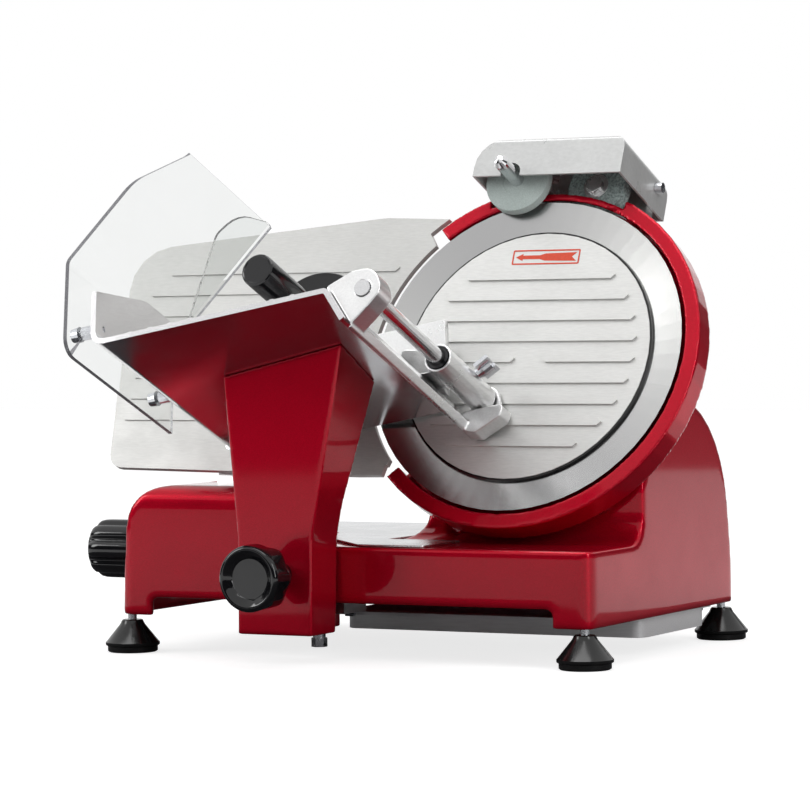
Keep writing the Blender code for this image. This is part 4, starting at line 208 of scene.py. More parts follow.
def add_lamp(name, position, aim, width, height, power):
    """A broad soft box lamp, aimed at a point of the machine."""
    lamp = bpy.data.lights.new(name, "AREA")
    lamp.shape = "RECTANGLE"
    lamp.size = width
    lamp.size_y = height
    lamp.energy = power
    holder = bpy.data.objects.new(name, lamp)
    holder.location = position
    holder.rotation_euler = (Vector(position) - Vector(aim)).to_track_quat("Z", "Y").to_euler()
    scene.collection.objects.link(holder)


add_lamp("top_box", (-0.1, -0.25, 1.7), (0, 0, 0.15), 1.6, 0.9, 13)
add_lamp("left_box", (-1.5, -1.1, 0.9), (0, 0, 0.2), 0.5, 1.1, 11)
add_lamp("right_box", (1.5, -0.6, 0.7), (0.1, 0, 0.2), 0.4, 1.1, 8)

# Cast base.
# One aluminium sand casting: the deck, the hump on its left, the pillar and its two legs. It is ground
# by hand along its edges and sprayed with red metallic paint under a clear coat.
BASE_GRAIN = 0.0024
BASE_RUBS = 7
MERGE_REACH = 0.00002
FLAT_ANGLE = 0.6


def surface_life():
    """Handling and dust that change how smooth a surface is from place to place."""
    group = bpy.data.node_groups.new("surface_life", "ShaderNodeTree")
    for socket in ("Scale", "Smooth", "Rough"):
        group.interface.new_socket(socket, in_out="INPUT", socket_type="NodeSocketFloat")
    for socket in ("Roughness", "Mask"):
        group.interface.new_socket(socket, in_out="OUTPUT", socket_type="NodeSocketFloat")
    entry = group.nodes.new("NodeGroupInput")
    leave = group.nodes.new("NodeGroupOutput")
    where = group.nodes.new("ShaderNodeTexCoord")
    cloud = group.nodes.new("ShaderNodeTexNoise")
    cloud.inputs["Detail"].default_value = 6
    cloud.inputs["Roughness"].default_value = 0.6
    spread = group.nodes.new("ShaderNodeMapRange")
    spread.inputs["From Min"].default_value = 0.35
    spread.inputs["From Max"].default_value = 0.70
    group.links.new(where.outputs["Object"], cloud.inputs["Vector"])
    group.links.new(entry.outputs["Scale"], cloud.inputs["Scale"])
    group.links.new(cloud.outputs["Fac"], spread.inputs["Value"])
    group.links.new(entry.outputs["Smooth"], spread.inputs["To Min"])
    group.links.new(entry.outputs["Rough"], spread.inputs["To Max"])
    group.links.new(spread.outputs["Result"], leave.inputs["Roughness"])
    group.links.new(cloud.outputs["Fac"], leave.inputs["Mask"])
    return group


SURFACE_LIFE = surface_life()


def new_finish(name):
    material = bpy.data.materials.new(name)
    material.use_nodes = True
    return material, material.node_tree, material.node_tree.nodes["Principled BSDF"]


def add_life(tree, surface, scale, smooth, rough):
    """Joins the handling and dust group to a finish's roughness."""
    life = tree.nodes.new("ShaderNodeGroup")
    life.node_tree = SURFACE_LIFE
    life.inputs["Scale"].default_value = scale
    life.inputs["Smooth"].default_value = smooth
    life.inputs["Rough"].default_value = rough
    tree.links.new(life.outputs["Roughness"], surface.inputs["Roughness"])
    return life


def red_metallic_paint():
    """Red metallic paint: a dark red ground, fine flake, the skin of sprayed paint and a clear coat."""
    material, tree, surface = new_finish("red_lacquer")
    where = tree.nodes.new("ShaderNodeTexCoord")
    flake = tree.nodes.new("ShaderNodeTexVoronoi")
    flake.inputs["Scale"].default_value = 2600
    tone = tree.nodes.new("ShaderNodeValToRGB")
    tone.color_ramp.elements[0].position = 0.0
    tone.color_ramp.elements[0].color = (0.54, 0.003, 0.021, 1)
    tone.color_ramp.elements[1].position = 0.9
    tone.color_ramp.elements[1].color = (0.37, 0.001, 0.012, 1)
    skin = tree.nodes.new("ShaderNodeTexNoise")
    skin.inputs["Scale"].default_value = 420
    skin.inputs["Detail"].default_value = 2
    relief = tree.nodes.new("ShaderNodeBump")
    relief.inputs["Strength"].default_value = 0.05
    relief.inputs["Distance"].default_value = 0.0004
    tree.links.new(where.outputs["Object"], flake.inputs["Vector"])
    tree.links.new(where.outputs["Object"], skin.inputs["Vector"])
    tree.links.new(flake.outputs["Color"], tone.inputs["Fac"])
    tree.links.new(tone.outputs["Color"], surface.inputs["Base Color"])
    tree.links.new(skin.outputs["Fac"], relief.inputs["Height"])
    tree.links.new(relief.outputs["Normal"], surface.inputs["Normal"])
    surface.inputs["Metallic"].default_value = 0.55
    surface.inputs["Specular IOR Level"].default_value = 0.0
    surface.inputs["Coat Weight"].default_value = 1.0
    surface.inputs["Coat Roughness"].default_value = 0.05
    surface.inputs["Coat IOR"].default_value = 1.28
    add_life(tree, surface, 30, 0.30, 0.40)
    return material


def fit(piece, body, slot, *stands_for):
    """Gives a finished piece its body and hides the nodes that it stands for. The slot argument is not
    used.
    """
    if stands_for:
        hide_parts(*stands_for)
    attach(piece, body)
    piece.select_set(False)


def dress(names, material):
    for name in names:
        nodes[name].data.materials.clear()
        nodes[name].data.materials.append(material)


def copy_of(node, material):
    """A node's own form as a new piece, with its loose triangles merged into whole faces."""
    bpy.ops.object.select_all(action="DESELECT")
    piece = nodes[node].copy()
    piece.data = nodes[node].data.copy()
    for key in list(piece.keys()):
        del piece[key]
    piece.parent = None
    piece.name = node + "_finished"
    scene.collection.objects.link(piece)
    piece.matrix_world = nodes[node].matrix_world.copy()
    piece.select_set(True)
    bpy.context.view_layer.objects.active = piece
    bpy.ops.object.transform_apply(location=True, rotation=True, scale=True)
    piece.data.materials.clear()
    piece.data.materials.append(material)
    bpy.ops.object.mode_set(mode="EDIT")
    bpy.ops.mesh.select_all(action="SELECT")
    bpy.ops.mesh.remove_doubles(threshold=MERGE_REACH)
    bpy.ops.mesh.dissolve_limited(angle_limit=math.radians(FLAT_ANGLE))
    bpy.ops.object.mode_set(mode="OBJECT")
    return piece


def cast_skin(node, body, material, slot, grain, passes):
    """The node as a sand casting: every edge and inner corner a little round."""
    piece = copy_of(node, material)
    piece.data.remesh_voxel_size = grain
    bpy.ops.object.voxel_remesh()
    rub = piece.modifiers.new("ground edges", "SMOOTH")
    rub.factor = 0.5
    rub.iterations = passes
    bpy.ops.object.modifier_apply(modifier="ground edges")
    bpy.ops.object.shade_smooth()
    fit(piece, body, slot, node)
    return piece


lacquer = red_metallic_paint()
cast_skin("base_casting", "base", lacquer, "red_lacquer", BASE_GRAIN, BASE_RUBS)

# Feet.
# Four black rubber cones with a stepped rim at the floor, moulded round a plated stud that screws into
# the base and leaves a few millimetres of bright steel to be seen.
FOOT_PLACES = (("front_left", -0.2866, -0.0995), ("front_right", 0.0925, -0.0995),
               ("back_left", -0.2866, 0.1515), ("back_right", 0.0925, 0.1515))
FOOT_RINGS = ((0.0178, 0.0000), (0.0190, 0.0009), (0.0190, 0.0044), (0.0204, 0.0052), (0.0206, 0.0060),
              (0.0206, 0.0074), (0.0198, 0.0082), (0.0096, 0.0208), (0.0086, 0.0226), (0.0080, 0.0240),
              (0.0070, 0.0246))
STUD_RINGS = ((0.0033, 0.0240), (0.0033, 0.0300))


def drawn_out(name, rings, seat, segments=64, smooth=28):
    """A round piece drawn out ring by ring along its axis, as on a lathe."""
    bpy.ops.object.select_all(action="DESELECT")
    radius, height = rings[0]
    bpy.ops.mesh.primitive_circle_add(
        vertices=segments, radius=radius, fill_type="NGON", location=(0, 0, height)
    )
    piece = bpy.context.active_object
    piece.name = name
    bpy.ops.object.transform_apply(location=True, rotation=False, scale=False)
    bpy.ops.object.mode_set(mode="EDIT")
    bpy.ops.mesh.select_all(action="SELECT")
    for next_radius, next_height in rings[1:]:
        bpy.ops.mesh.extrude_region_move(TRANSFORM_OT_translate={"value": (0, 0, next_height - height)})
        growth = next_radius / radius
        bpy.ops.transform.resize(value=(growth, growth, 1), center_override=(0, 0, next_height))
        radius, height = next_radius, next_height
    bpy.ops.mesh.select_all(action="SELECT")
    bpy.ops.mesh.normals_make_consistent(inside=False)
    bpy.ops.object.mode_set(mode="OBJECT")
    bpy.ops.object.shade_smooth_by_angle(angle=math.radians(smooth))
    piece.matrix_world = seat
    bpy.ops.object.transform_apply(location=True, rotation=True, scale=True)
    return piece


def moulded(name, colour, smooth, rough, scale=60, bump=0.05, spread=0.25):
    """Moulded plastic or rubber with a faint uneven skin."""
    material, tree, surface = new_finish(name)
    where = tree.nodes.new("ShaderNodeTexCoord")
    skin = tree.nodes.new("ShaderNodeTexNoise")
    skin.inputs["Scale"].default_value = scale * 12
    skin.inputs["Detail"].default_value = 4
    relief = tree.nodes.new("ShaderNodeBump")
    relief.inputs["Strength"].default_value = bump
    relief.inputs["Distance"].default_value = 0.0003
    shade = tree.nodes.new("ShaderNodeValToRGB")
    shade.color_ramp.elements[0].position = 0.3
    shade.color_ramp.elements[0].color = (*[c * (1 - spread) for c in colour], 1)
    shade.color_ramp.elements[1].position = 0.7
    shade.color_ramp.elements[1].color = (*[min(c * (1 + spread), 1) for c in colour], 1)
    tree.links.new(where.outputs["Object"], skin.inputs["Vector"])
    tree.links.new(skin.outputs["Fac"], relief.inputs["Height"])
    tree.links.new(skin.outputs["Fac"], shade.inputs["Fac"])
    tree.links.new(shade.outputs["Color"], surface.inputs["Base Color"])
    tree.links.new(relief.outputs["Normal"], surface.inputs["Normal"])
    add_life(tree, surface, scale, smooth, rough)
    return material


def metal(name, colour, smooth, rough, grain=700, stretch=(1, 1, 1), bump=0.06, bare=1.0):
    """Metal with a fine grain, drawn out along one direction where the stretch values differ."""
    material, tree, surface = new_finish(name)
    where = tree.nodes.new("ShaderNodeTexCoord")
    settle = tree.nodes.new("ShaderNodeMapping")
    settle.inputs["Scale"].default_value = stretch
    hair = tree.nodes.new("ShaderNodeTexNoise")
    hair.inputs["Scale"].default_value = grain
    hair.inputs["Detail"].default_value = 4
    shade = tree.nodes.new("ShaderNodeValToRGB")
    shade.color_ramp.elements[0].position = 0.3
    shade.color_ramp.elements[0].color = (*[c * 0.90 for c in colour], 1)
    shade.color_ramp.elements[1].position = 0.7
    shade.color_ramp.elements[1].color = (*colour, 1)
    relief = tree.nodes.new("ShaderNodeBump")
    relief.inputs["Strength"].default_value = bump
    relief.inputs["Distance"].default_value = 0.0002
    tree.links.new(where.outputs["Object"], settle.inputs["Vector"])
    tree.links.new(settle.outputs["Vector"], hair.inputs["Vector"])
    tree.links.new(hair.outputs["Fac"], shade.inputs["Fac"])
    tree.links.new(shade.outputs["Color"], surface.inputs["Base Color"])
    tree.links.new(hair.outputs["Fac"], relief.inputs["Height"])
    tree.links.new(relief.outputs["Normal"], surface.inputs["Normal"])
    surface.inputs["Metallic"].default_value = bare
    add_life(tree, surface, 30, smooth, rough)
    return material


rubber = moulded("black_rubber", (0.006, 0.006, 0.006), 0.14, 0.24)
zinc = metal("zinc_plate", (0.66, 0.67, 0.70), 0.18, 0.32)
for corner, x, y in FOOT_PLACES:
    foot_seat = bench @ Matrix.Translation((x, y, 0))
    foot = drawn_out("foot_cone_" + corner, FOOT_RINGS, foot_seat)
    foot.data.materials.append(rubber)
    fit(foot, "base", "black_rubber", "foot_" + corner)
    stud = drawn_out("foot_stud_" + corner, STUD_RINGS, foot_seat, 32)
    stud.data.materials.append(zinc)
    fit(stud, "base", "polished_steel")

# Bottom pan and receiving tray.
# Two stainless sheets: a pressed pan under the motor, held by a screw at each end, and the flat tray
# that lies on the deck behind the hump, where the slices land.
PAN_EDGE = 0.0004


def true_faces(piece):
    """Lets wide flat faces keep their own direction, so that only the narrow rounds beside them turn."""
    piece.modifiers.new("true faces", "WEIGHTED_NORMAL").keep_sharp = True
    bpy.ops.object.modifier_apply(modifier="true faces")


def eased(node, body, material, slot, width, segments=3, sharp=32):
    """The node with the fine round that a file or a press leaves along its sharp edges."""
    piece = copy_of(node, material)
    edge = piece.modifiers.new("filed edge", "BEVEL")
    edge.width = width
    edge.segments = segments
    edge.limit_method = "ANGLE"
    edge.angle_limit = math.radians(sharp)
    bpy.ops.object.modifier_apply(modifier="filed edge")
    bpy.ops.object.shade_smooth_by_angle(angle=math.radians(32))
    true_faces(piece)
    fit(piece, body, slot, node)
    return piece


sheet_steel = metal("stainless_sheet", (0.66, 0.67, 0.68), 0.22, 0.36, 900, (0.06, 1, 1), 0.08)
pan_steel = metal("pressed_pan", (0.72, 0.72, 0.73), 0.30, 0.42, 900, (0.06, 1, 1), 0.08, 0.35)
eased("bottom_cover", "base", pan_steel, "stainless_sheet", PAN_EDGE)
eased("receiving_tray", "base", sheet_steel, "stainless_sheet", PAN_EDGE)
dress(("cover_screw_front", "cover_screw_back"), zinc)

# Carriage: guide rods, slide block and arm.
# The arm is a second red casting on an aluminium block that slides on a round ground rod; a square bar
# behind it keeps it upright, and a hexagon bolt under the arm holds the block.
ARM_GRAIN = 0.0016
ARM_RUBS = 4
chrome = metal("polished_steel", (0.72, 0.72, 0.73), 0.10, 0.20, 900, (1, 1, 1), 0.03)
satin = metal("satin_aluminium", (0.78, 0.78, 0.78), 0.26, 0.38, 800, (1, 0.10, 1), 0.06)
dress(("guide_rod", "support_bar"), chrome)
dress(["arm_bolt"], zinc)
dress(["carriage_slide"], satin)
cast_skin("carriage_arm", "carriage", lacquer, "red_lacquer", ARM_GRAIN, ARM_RUBS)

# Lock knob.
# A round black phenolic knob with seven shallow grips at its back and a dished, polished face. Its
# steel stud screws through the front of the arm and clamps the carriage.
TO_FRONT = Matrix.Rotation(math.radians(90), 4, "X")
LOCK_PLACE = (-0.1265, -0.150, 0.066)
LOCK_GRIPS = 7
LOCK_GRIP_DEPTH = 0.0022
LOCK_GRIP_START = 0.0250
LOCK_GRIP_END = 0.0470
LOCK_GRIP_POWER = 1
LOCK_GRIP_FADE = 0.75
GRIP_INNER_REACH = 0.015
LOCK_RINGS = ((0.0040, -0.0100), (0.0040, 0.0003), (0.0088, 0.0003), (0.0090, 0.0060), (0.0100, 0.0150),
              (0.0128, 0.0235), (0.0200, 0.0252), (0.0232, 0.0262), (0.0243, 0.0280), (0.0245, 0.0310),
              (0.0245, 0.0360), (0.0245, 0.0410), (0.0244, 0.0450), (0.0240, 0.0472), (0.0232, 0.0488),
              (0.0220, 0.0497), (0.0208, 0.0499), (0.0196, 0.0494), (0.0176, 0.0478), (0.0156, 0.0464),
              (0.0148, 0.0460), (0.0144, 0.0455))


def cut_grips(piece, place, axis_turn, count, depth, start, end, power, fade):
    """Presses grips into a knob's side, each as deep as its cosine says, and shallower to the front."""
    settle = place @ axis_turn
    back_to_knob = settle.inverted()
    for vertex in piece.data.vertices:
        spot = back_to_knob @ vertex.co
        reach = math.hypot(spot.x, spot.y)
        if spot.z < start or spot.z > end or reach < GRIP_INNER_REACH:
            continue
        angle = math.atan2(spot.y, spot.x)
        share = (0.5 - 0.5 * math.cos(count * angle)) ** power
        tail = 1 - fade * (spot.z - start) / (end - start)
        shrink = 1 - depth * share * tail / reach
        vertex.co = settle @ Vector((spot.x * shrink, spot.y * shrink, spot.z))


black_gloss = moulded("black_plastic", (0.005, 0.005, 0.006), 0.06, 0.12, 60, 0.02)
lock_seat = bench @ Matrix.Translation(LOCK_PLACE)
lock = drawn_out("lock_knob_turned", LOCK_RINGS, lock_seat @ TO_FRONT, 140, 34)
cut_grips(
    lock, lock_seat, TO_FRONT, LOCK_GRIPS, LOCK_GRIP_DEPTH, LOCK_GRIP_START, LOCK_GRIP_END,
    LOCK_GRIP_POWER, LOCK_GRIP_FADE,
)
lock.data.materials.append(black_gloss)
fit(lock, "lock_knob", "black_plastic", "lock_knob")

# Thickness control: index knob, cam shaft and gauge bracket.
# A fluted black knob on the left end turns a cam inside the hump. The cam pushes a bracket along a
# ground rod, and the bracket carries the gauge plate through a slot in the hump's roof.
TO_LEFT = Matrix.Rotation(math.radians(-90), 4, "Y")
INDEX_PLACE = (-0.28849, -0.07002, 0.076)
INDEX_FLUTES = 8
INDEX_FLUTE_DEPTH = 0.0032
INDEX_FLUTE_START = 0.0030
INDEX_FLUTE_END = 0.0440
INDEX_FLUTE_POWER = 3
INDEX_FLUTE_FADE = 0.1
INDEX_RINGS = ((0.0185, 0.0040), (0.0210, 0.0042), (0.0222, 0.0050), (0.0225, 0.0066), (0.0225, 0.0150),
               (0.0225, 0.0240), (0.0225, 0.0330), (0.0223, 0.0380), (0.0216, 0.0415), (0.0202, 0.0438),
               (0.0182, 0.0450), (0.0150, 0.0454), (0.0060, 0.0455))
index_seat = bench @ Matrix.Translation(INDEX_PLACE)
index = drawn_out("index_knob_turned", INDEX_RINGS, index_seat @ TO_LEFT, 128, 34)
cut_grips(
    index, index_seat, TO_LEFT, INDEX_FLUTES, INDEX_FLUTE_DEPTH, INDEX_FLUTE_START, INDEX_FLUTE_END,
    INDEX_FLUTE_POWER, INDEX_FLUTE_FADE,
)
index.data.materials.append(black_gloss)
fit(index, "index_knob", "black_plastic", "index_knob")
dress(("index_shaft", "gauge_rod"), chrome)
dress(["gauge_bracket"], satin)

# Gauge plate.
# A cast aluminium plate with raised ribs that the food slides over, machined flat, polished and
# anodised pale. A countersunk screw holds it to its bracket.
GAUGE_EDGE = 0.0010
pale = metal("pale_anodised", (0.69, 0.69, 0.675), 0.32, 0.44, 1000, (0.15, 1, 1), 0.05, 0.55)
gauge_pale = metal("gauge_anodised", (0.55, 0.55, 0.535), 0.34, 0.46, 1000, (0.15, 1, 1), 0.05, 0.40)
eased("gauge_plate", "gauge", gauge_pale, "light_finish", GAUGE_EDGE)
dress(["gauge_screw"], zinc)

# Knife ring and its bolts.
# The red cast ring guards the knife's edge and carries the spindle bearing; two bright bolts hold it
# against the pillar.
RING_GRAIN = 0.0016
RING_RUBS = 3
cast_skin("ring_guard", "base", lacquer, "red_lacquer", RING_GRAIN, RING_RUBS)
dress(("pillar_bolt_left", "pillar_bolt_right"), zinc)

# Knife and drive.
# The knife is hardened steel, ground in fine rings and polished on its bevel. Behind it a belt runs
# from the motor's small pulley to the pulley on the knife's spindle.
# The knife's colour in the painted light sectors; the painted dark sectors fall towards grey.
KNIFE_COLOUR = (0.56, 0.56, 0.55)


def ground_rings_painted_sheen(name, colour, seat, rough):
    """Ground metal with fine rings round an axis, and a painted sheen: light and dark sectors painted
    into the colour.
    """
    material, tree, surface = new_finish(name)
    where = tree.nodes.new("ShaderNodeTexCoord")
    settle = tree.nodes.new("ShaderNodeMapping")
    settle.vector_type = "TEXTURE"
    settle.inputs["Location"].default_value = seat.to_translation()
    settle.inputs["Rotation"].default_value = seat.to_euler()
    split = tree.nodes.new("ShaderNodeSeparateXYZ")
    square_x = tree.nodes.new("ShaderNodeMath")
    square_x.operation = "MULTIPLY"
    square_z = tree.nodes.new("ShaderNodeMath")
    square_z.operation = "MULTIPLY_ADD"
    root = tree.nodes.new("ShaderNodeMath")
    root.operation = "SQRT"
    stretch = tree.nodes.new("ShaderNodeMath")
    stretch.operation = "MULTIPLY"
    stretch.inputs[1].default_value = 2600
    join = tree.nodes.new("ShaderNodeCombineXYZ")
    rings = tree.nodes.new("ShaderNodeTexNoise")
    rings.inputs["Scale"].default_value = 1.0
    rings.inputs["Detail"].default_value = 3
    spin = tree.nodes.new("ShaderNodeMath")
    spin.operation = "ARCTAN2"
    twice = tree.nodes.new("ShaderNodeMath")
    twice.operation = "MULTIPLY_ADD"
    twice.inputs[1].default_value = 2
    twice.inputs[2].default_value = 0.6
    # Painted sheen: two light and two dark sectors round the axis, from the sine of twice the angle.
    painted_sheen_sector = tree.nodes.new("ShaderNodeMath")
    painted_sheen_sector.operation = "SINE"
    tone = tree.nodes.new("ShaderNodeMapRange")
    tone.inputs["To Min"].default_value = rough - 0.05
    tone.inputs["To Max"].default_value = rough + 0.09
    relief = tree.nodes.new("ShaderNodeBump")
    relief.inputs["Strength"].default_value = 0.08
    relief.inputs["Distance"].default_value = 0.0002
    shade = tree.nodes.new("ShaderNodeMapRange")
    shade.inputs["From Min"].default_value = -1.0
    shade.inputs["To Min"].default_value = 0.45
    shade.inputs["To Max"].default_value = 1.0
    # The grey is painted shade for the dark sectors of the sheen; the knife's colour is the lit end.
    painted_sheen_mix = tree.nodes.new("ShaderNodeMix")
    painted_sheen_mix.data_type = "RGBA"
    painted_sheen_mix.inputs["A"].default_value = (0.30, 0.30, 0.31, 1)
    painted_sheen_mix.inputs["B"].default_value = (*colour, 1)
    links = tree.links
    links.new(where.outputs["Object"], settle.inputs["Vector"])
    links.new(settle.outputs["Vector"], split.inputs[0])
    links.new(split.outputs["X"], square_x.inputs[0])
    links.new(split.outputs["X"], square_x.inputs[1])
    links.new(split.outputs["Z"], square_z.inputs[0])
    links.new(split.outputs["Z"], square_z.inputs[1])
    links.new(square_x.outputs[0], square_z.inputs[2])
    links.new(square_z.outputs[0], root.inputs[0])
    links.new(root.outputs[0], stretch.inputs[0])
    links.new(stretch.outputs[0], join.inputs["X"])
    links.new(join.outputs[0], rings.inputs["Vector"])
    links.new(split.outputs["Z"], spin.inputs[0])
    links.new(split.outputs["X"], spin.inputs[1])
    links.new(spin.outputs[0], twice.inputs[0])
    links.new(twice.outputs[0], painted_sheen_sector.inputs[0])
    links.new(painted_sheen_sector.outputs[0], shade.inputs["Value"])
    links.new(shade.outputs["Result"], painted_sheen_mix.inputs["Factor"])
    links.new(painted_sheen_mix.outputs["Result"], surface.inputs["Base Color"])
    links.new(rings.outputs["Fac"], tone.inputs["Value"])
    links.new(tone.outputs["Result"], surface.inputs["Roughness"])
    links.new(rings.outputs["Fac"], relief.inputs["Height"])
    links.new(relief.outputs["Normal"], surface.inputs["Normal"])
    surface.inputs["Metallic"].default_value = 1.0
    return material


knife_steel = ground_rings_painted_sheen("knife_steel", KNIFE_COLOUR, knife_seat, 0.20)
iron = moulded("motor_iron", (0.12, 0.13, 0.14), 0.45, 0.60)
dress(["knife"], knife_steel)
dress(("knife_spindle", "knife_bearing", "motor_shaft"), chrome)
dress(("knife_pulley", "motor_pulley"), satin)
dress(["drive_belt"], rubber)
dress(["motor_body"], iron)

# Knife cover.
# A pale anodised disc with nine pressed ribs fills the middle of the knife, with a thin black ring round
# it that is painted shade for the gap. The disc shows one printed arrow for the way the knife turns, and
# a knob behind pulls it tight.
COVER_EDGE = 0.0012
GAP_SHADE_INNER = 0.0994
GAP_SHADE_OUTER = 0.1009
GAP_SHADE_FRONT = -0.0016
GAP_SHADE_BACK = -0.0046
PRINT_LEFT = -0.0260
PRINT_RIGHT = 0.0300
PRINT_LOW = 0.0740
PRINT_HIGH = 0.0862
PRINT_LINE = 0.0012
PRINT_CORNER = 0.0012
PRINT_LIFT = -0.00085
eased("knife_cover", "base", pale, "light_finish", COVER_EDGE)
dress(["cover_tie_rod"], chrome)
dress(["cover_knob"], black_gloss)

# Painted shade: a thin matt black ring in the gap between the cover and the knife, in the black rubber
# finish.
bpy.ops.object.select_all(action="DESELECT")
bpy.ops.mesh.primitive_circle_add(vertices=128, radius=GAP_SHADE_OUTER, fill_type="NGON")
gap_shade_ring = bpy.context.active_object
gap_shade_ring.name = "cover_gap_painted_shade"
bpy.ops.object.mode_set(mode="EDIT")
bpy.ops.mesh.select_all(action="SELECT")
bpy.ops.mesh.inset(thickness=GAP_SHADE_OUTER - GAP_SHADE_INNER)
bpy.ops.mesh.delete(type="FACE")
bpy.ops.mesh.select_all(action="SELECT")
bpy.ops.mesh.extrude_region_move(TRANSFORM_OT_translate={"value": (0, 0, GAP_SHADE_BACK - GAP_SHADE_FRONT)})
bpy.ops.mesh.select_all(action="SELECT")
bpy.ops.mesh.normals_make_consistent(inside=False)
bpy.ops.object.mode_set(mode="OBJECT")
bpy.ops.object.shade_smooth_by_angle(angle=math.radians(30))
gap_shade_ring.matrix_world = knife_seat @ TO_FRONT @ Matrix.Translation((0, 0, GAP_SHADE_FRONT))
bpy.ops.object.transform_apply(location=True, rotation=True, scale=True)
gap_shade_ring.data.materials.append(rubber)
fit(gap_shade_ring, "base", "black_rubber")

print_red = moulded("printed_red", (0.66, 0.06, 0.020), 0.40, 0.50, 40, 0.02, 0.08)
print_seat = knife_seat @ TO_FRONT @ Matrix.Translation((0, 0, PRINT_LIFT))
middle_x = (PRINT_LEFT + PRINT_RIGHT) / 2
middle_z = (PRINT_LOW + PRINT_HIGH) / 2
bpy.ops.object.select_all(action="DESELECT")
bpy.ops.mesh.primitive_plane_add(size=1, location=(0, 0, 0))
border = bpy.context.active_object
border.name = "print_border"
bpy.ops.object.mode_set(mode="EDIT")
bpy.ops.mesh.select_all(action="SELECT")
bpy.ops.transform.resize(
    value=(PRINT_RIGHT - PRINT_LEFT, PRINT_HIGH - PRINT_LOW, 1), center_override=(0, 0, 0)
)
bpy.ops.transform.translate(value=(middle_x, middle_z, 0))
bpy.ops.mesh.bevel(offset=PRINT_CORNER, affect="VERTICES", segments=4)
bpy.ops.mesh.select_all(action="SELECT")
bpy.ops.mesh.inset(thickness=PRINT_LINE)
bpy.ops.mesh.delete(type="FACE")
bpy.ops.object.mode_set(mode="OBJECT")
border.matrix_world = print_seat
bpy.ops.object.transform_apply(location=True, rotation=True, scale=True)
border.data.materials.append(print_red)
fit(border, "base", "light_finish")

bpy.ops.object.select_all(action="DESELECT")
bpy.ops.mesh.primitive_plane_add(size=1, location=(0, 0, 0))
arrow = bpy.context.active_object
arrow.name = "print_arrow"
ARROW_TIP = PRINT_LEFT + 0.0028
ARROW_TAIL = PRINT_RIGHT - 0.0024
ARROW_NOTCH = 0.0040
ARROW_HEAD = 0.0030
ARROW_POINT = 0.00002
SAME_PLACE = 0.00001
ARROW_NECK = ARROW_TIP + 0.0060
ARROW_STEPS = ((ARROW_NECK, 0.0015), (ARROW_TIP + 0.0200, 0.0016),
               (ARROW_TIP + 0.0245, 0.0030), (ARROW_TAIL, 0.0036))
bpy.ops.object.mode_set(mode="EDIT")
bpy.ops.mesh.select_all(action="SELECT")
bpy.ops.mesh.delete(type="ONLY_FACE")
bpy.ops.object.mode_set(mode="OBJECT")
for corner in arrow.data.vertices:
    at_tip = corner.co.x < 0
    half = ARROW_POINT if at_tip else ARROW_HEAD
    height = middle_z + (half if corner.co.y > 0 else -half)
    corner.co = Vector((ARROW_TIP if at_tip else ARROW_NECK, height, 0))
bpy.ops.object.mode_set(mode="EDIT")
bpy.ops.mesh.select_all(action="SELECT")
bpy.ops.mesh.edge_face_add()
bpy.ops.mesh.select_mode(type="EDGE")
bpy.ops.object.mode_set(mode="OBJECT")
for edge in arrow.data.edges:
    ends = [arrow.data.vertices[number].co for number in edge.vertices]
    edge.select = all(abs(end.x - ARROW_NECK) < SAME_PLACE for end in ends)
for face in arrow.data.polygons:
    face.select = False
height = ARROW_HEAD
reach = ARROW_NECK
for x, half in ARROW_STEPS:
    bpy.ops.object.mode_set(mode="EDIT")
    bpy.ops.mesh.extrude_edges_move(TRANSFORM_OT_translate={"value": (x - reach, 0, 0)})
    bpy.ops.transform.resize(value=(1, half / height, 1), center_override=(x, middle_z, 0))
    bpy.ops.object.mode_set(mode="OBJECT")
    height, reach = half, x
bpy.ops.object.mode_set(mode="EDIT")
bpy.ops.mesh.subdivide(number_cuts=1)
bpy.ops.object.mode_set(mode="OBJECT")
for corner in arrow.data.vertices:
    at_tail = abs(corner.co.x - ARROW_TAIL) < SAME_PLACE
    if at_tail and abs(corner.co.y - middle_z) < 10 * SAME_PLACE:
        corner.co.x -= ARROW_NOTCH
arrow.matrix_world = print_seat
bpy.ops.object.transform_apply(location=True, rotation=True, scale=True)
arrow.data.materials.append(print_red)
fit(arrow, "base", "light_finish")

# Sharpener.
# A folded cover on a cast carrier that drops on a post behind the knife. Two vitrified stones hang in
# it, each on a spring pin with a bright push button or nut: one grinds the edge, one takes off the burr.
SHARPENER_EDGE = 0.0008
DEBURR_PLACE = (-0.0275, 0, 0.1395)
GRIND_PLACE = (0.0300, 0, 0.1415)
DEBURR_RINGS = ((0.0252, 0.0040), (0.0259, 0.0044), (0.0260, 0.0052), (0.0260, 0.0108), (0.0258, 0.0116),
                (0.0250, 0.0120), (0.0120, 0.0120), (0.0118, 0.0117), (0.0070, 0.0117))
GRIND_RINGS = ((0.0228, -0.0200), (0.0234, -0.0196), (0.0235, -0.0188), (0.0235, -0.0092),
               (0.0233, -0.0084), (0.0226, -0.0080), (0.0105, -0.0080))
WASHER_RINGS = ((0.0098, -0.0081), (0.0100, -0.0080), (0.0100, -0.0070), (0.0097, -0.0068))
NUT_RINGS = ((0.0066, -0.0069), (0.0074, -0.0066), (0.0074, -0.0034), (0.0066, -0.0028))
cover_pale = metal("pale_sheet", (0.57, 0.575, 0.57), 0.26, 0.38, 900, (0.3, 1, 0.3), 0.05, 0.35)
eased("sharpener_cover", "sharpener", cover_pale, "light_finish", SHARPENER_EDGE)
dress(["sharpener_carrier"], satin)
dress(("deburring_pin", "grinding_pin"), chrome)
dress(["sharpener_screw"], zinc)
stone_fine = moulded("fine_stone", (0.42, 0.48, 0.46), 0.82, 0.95, 90, 0.20, 0.12)
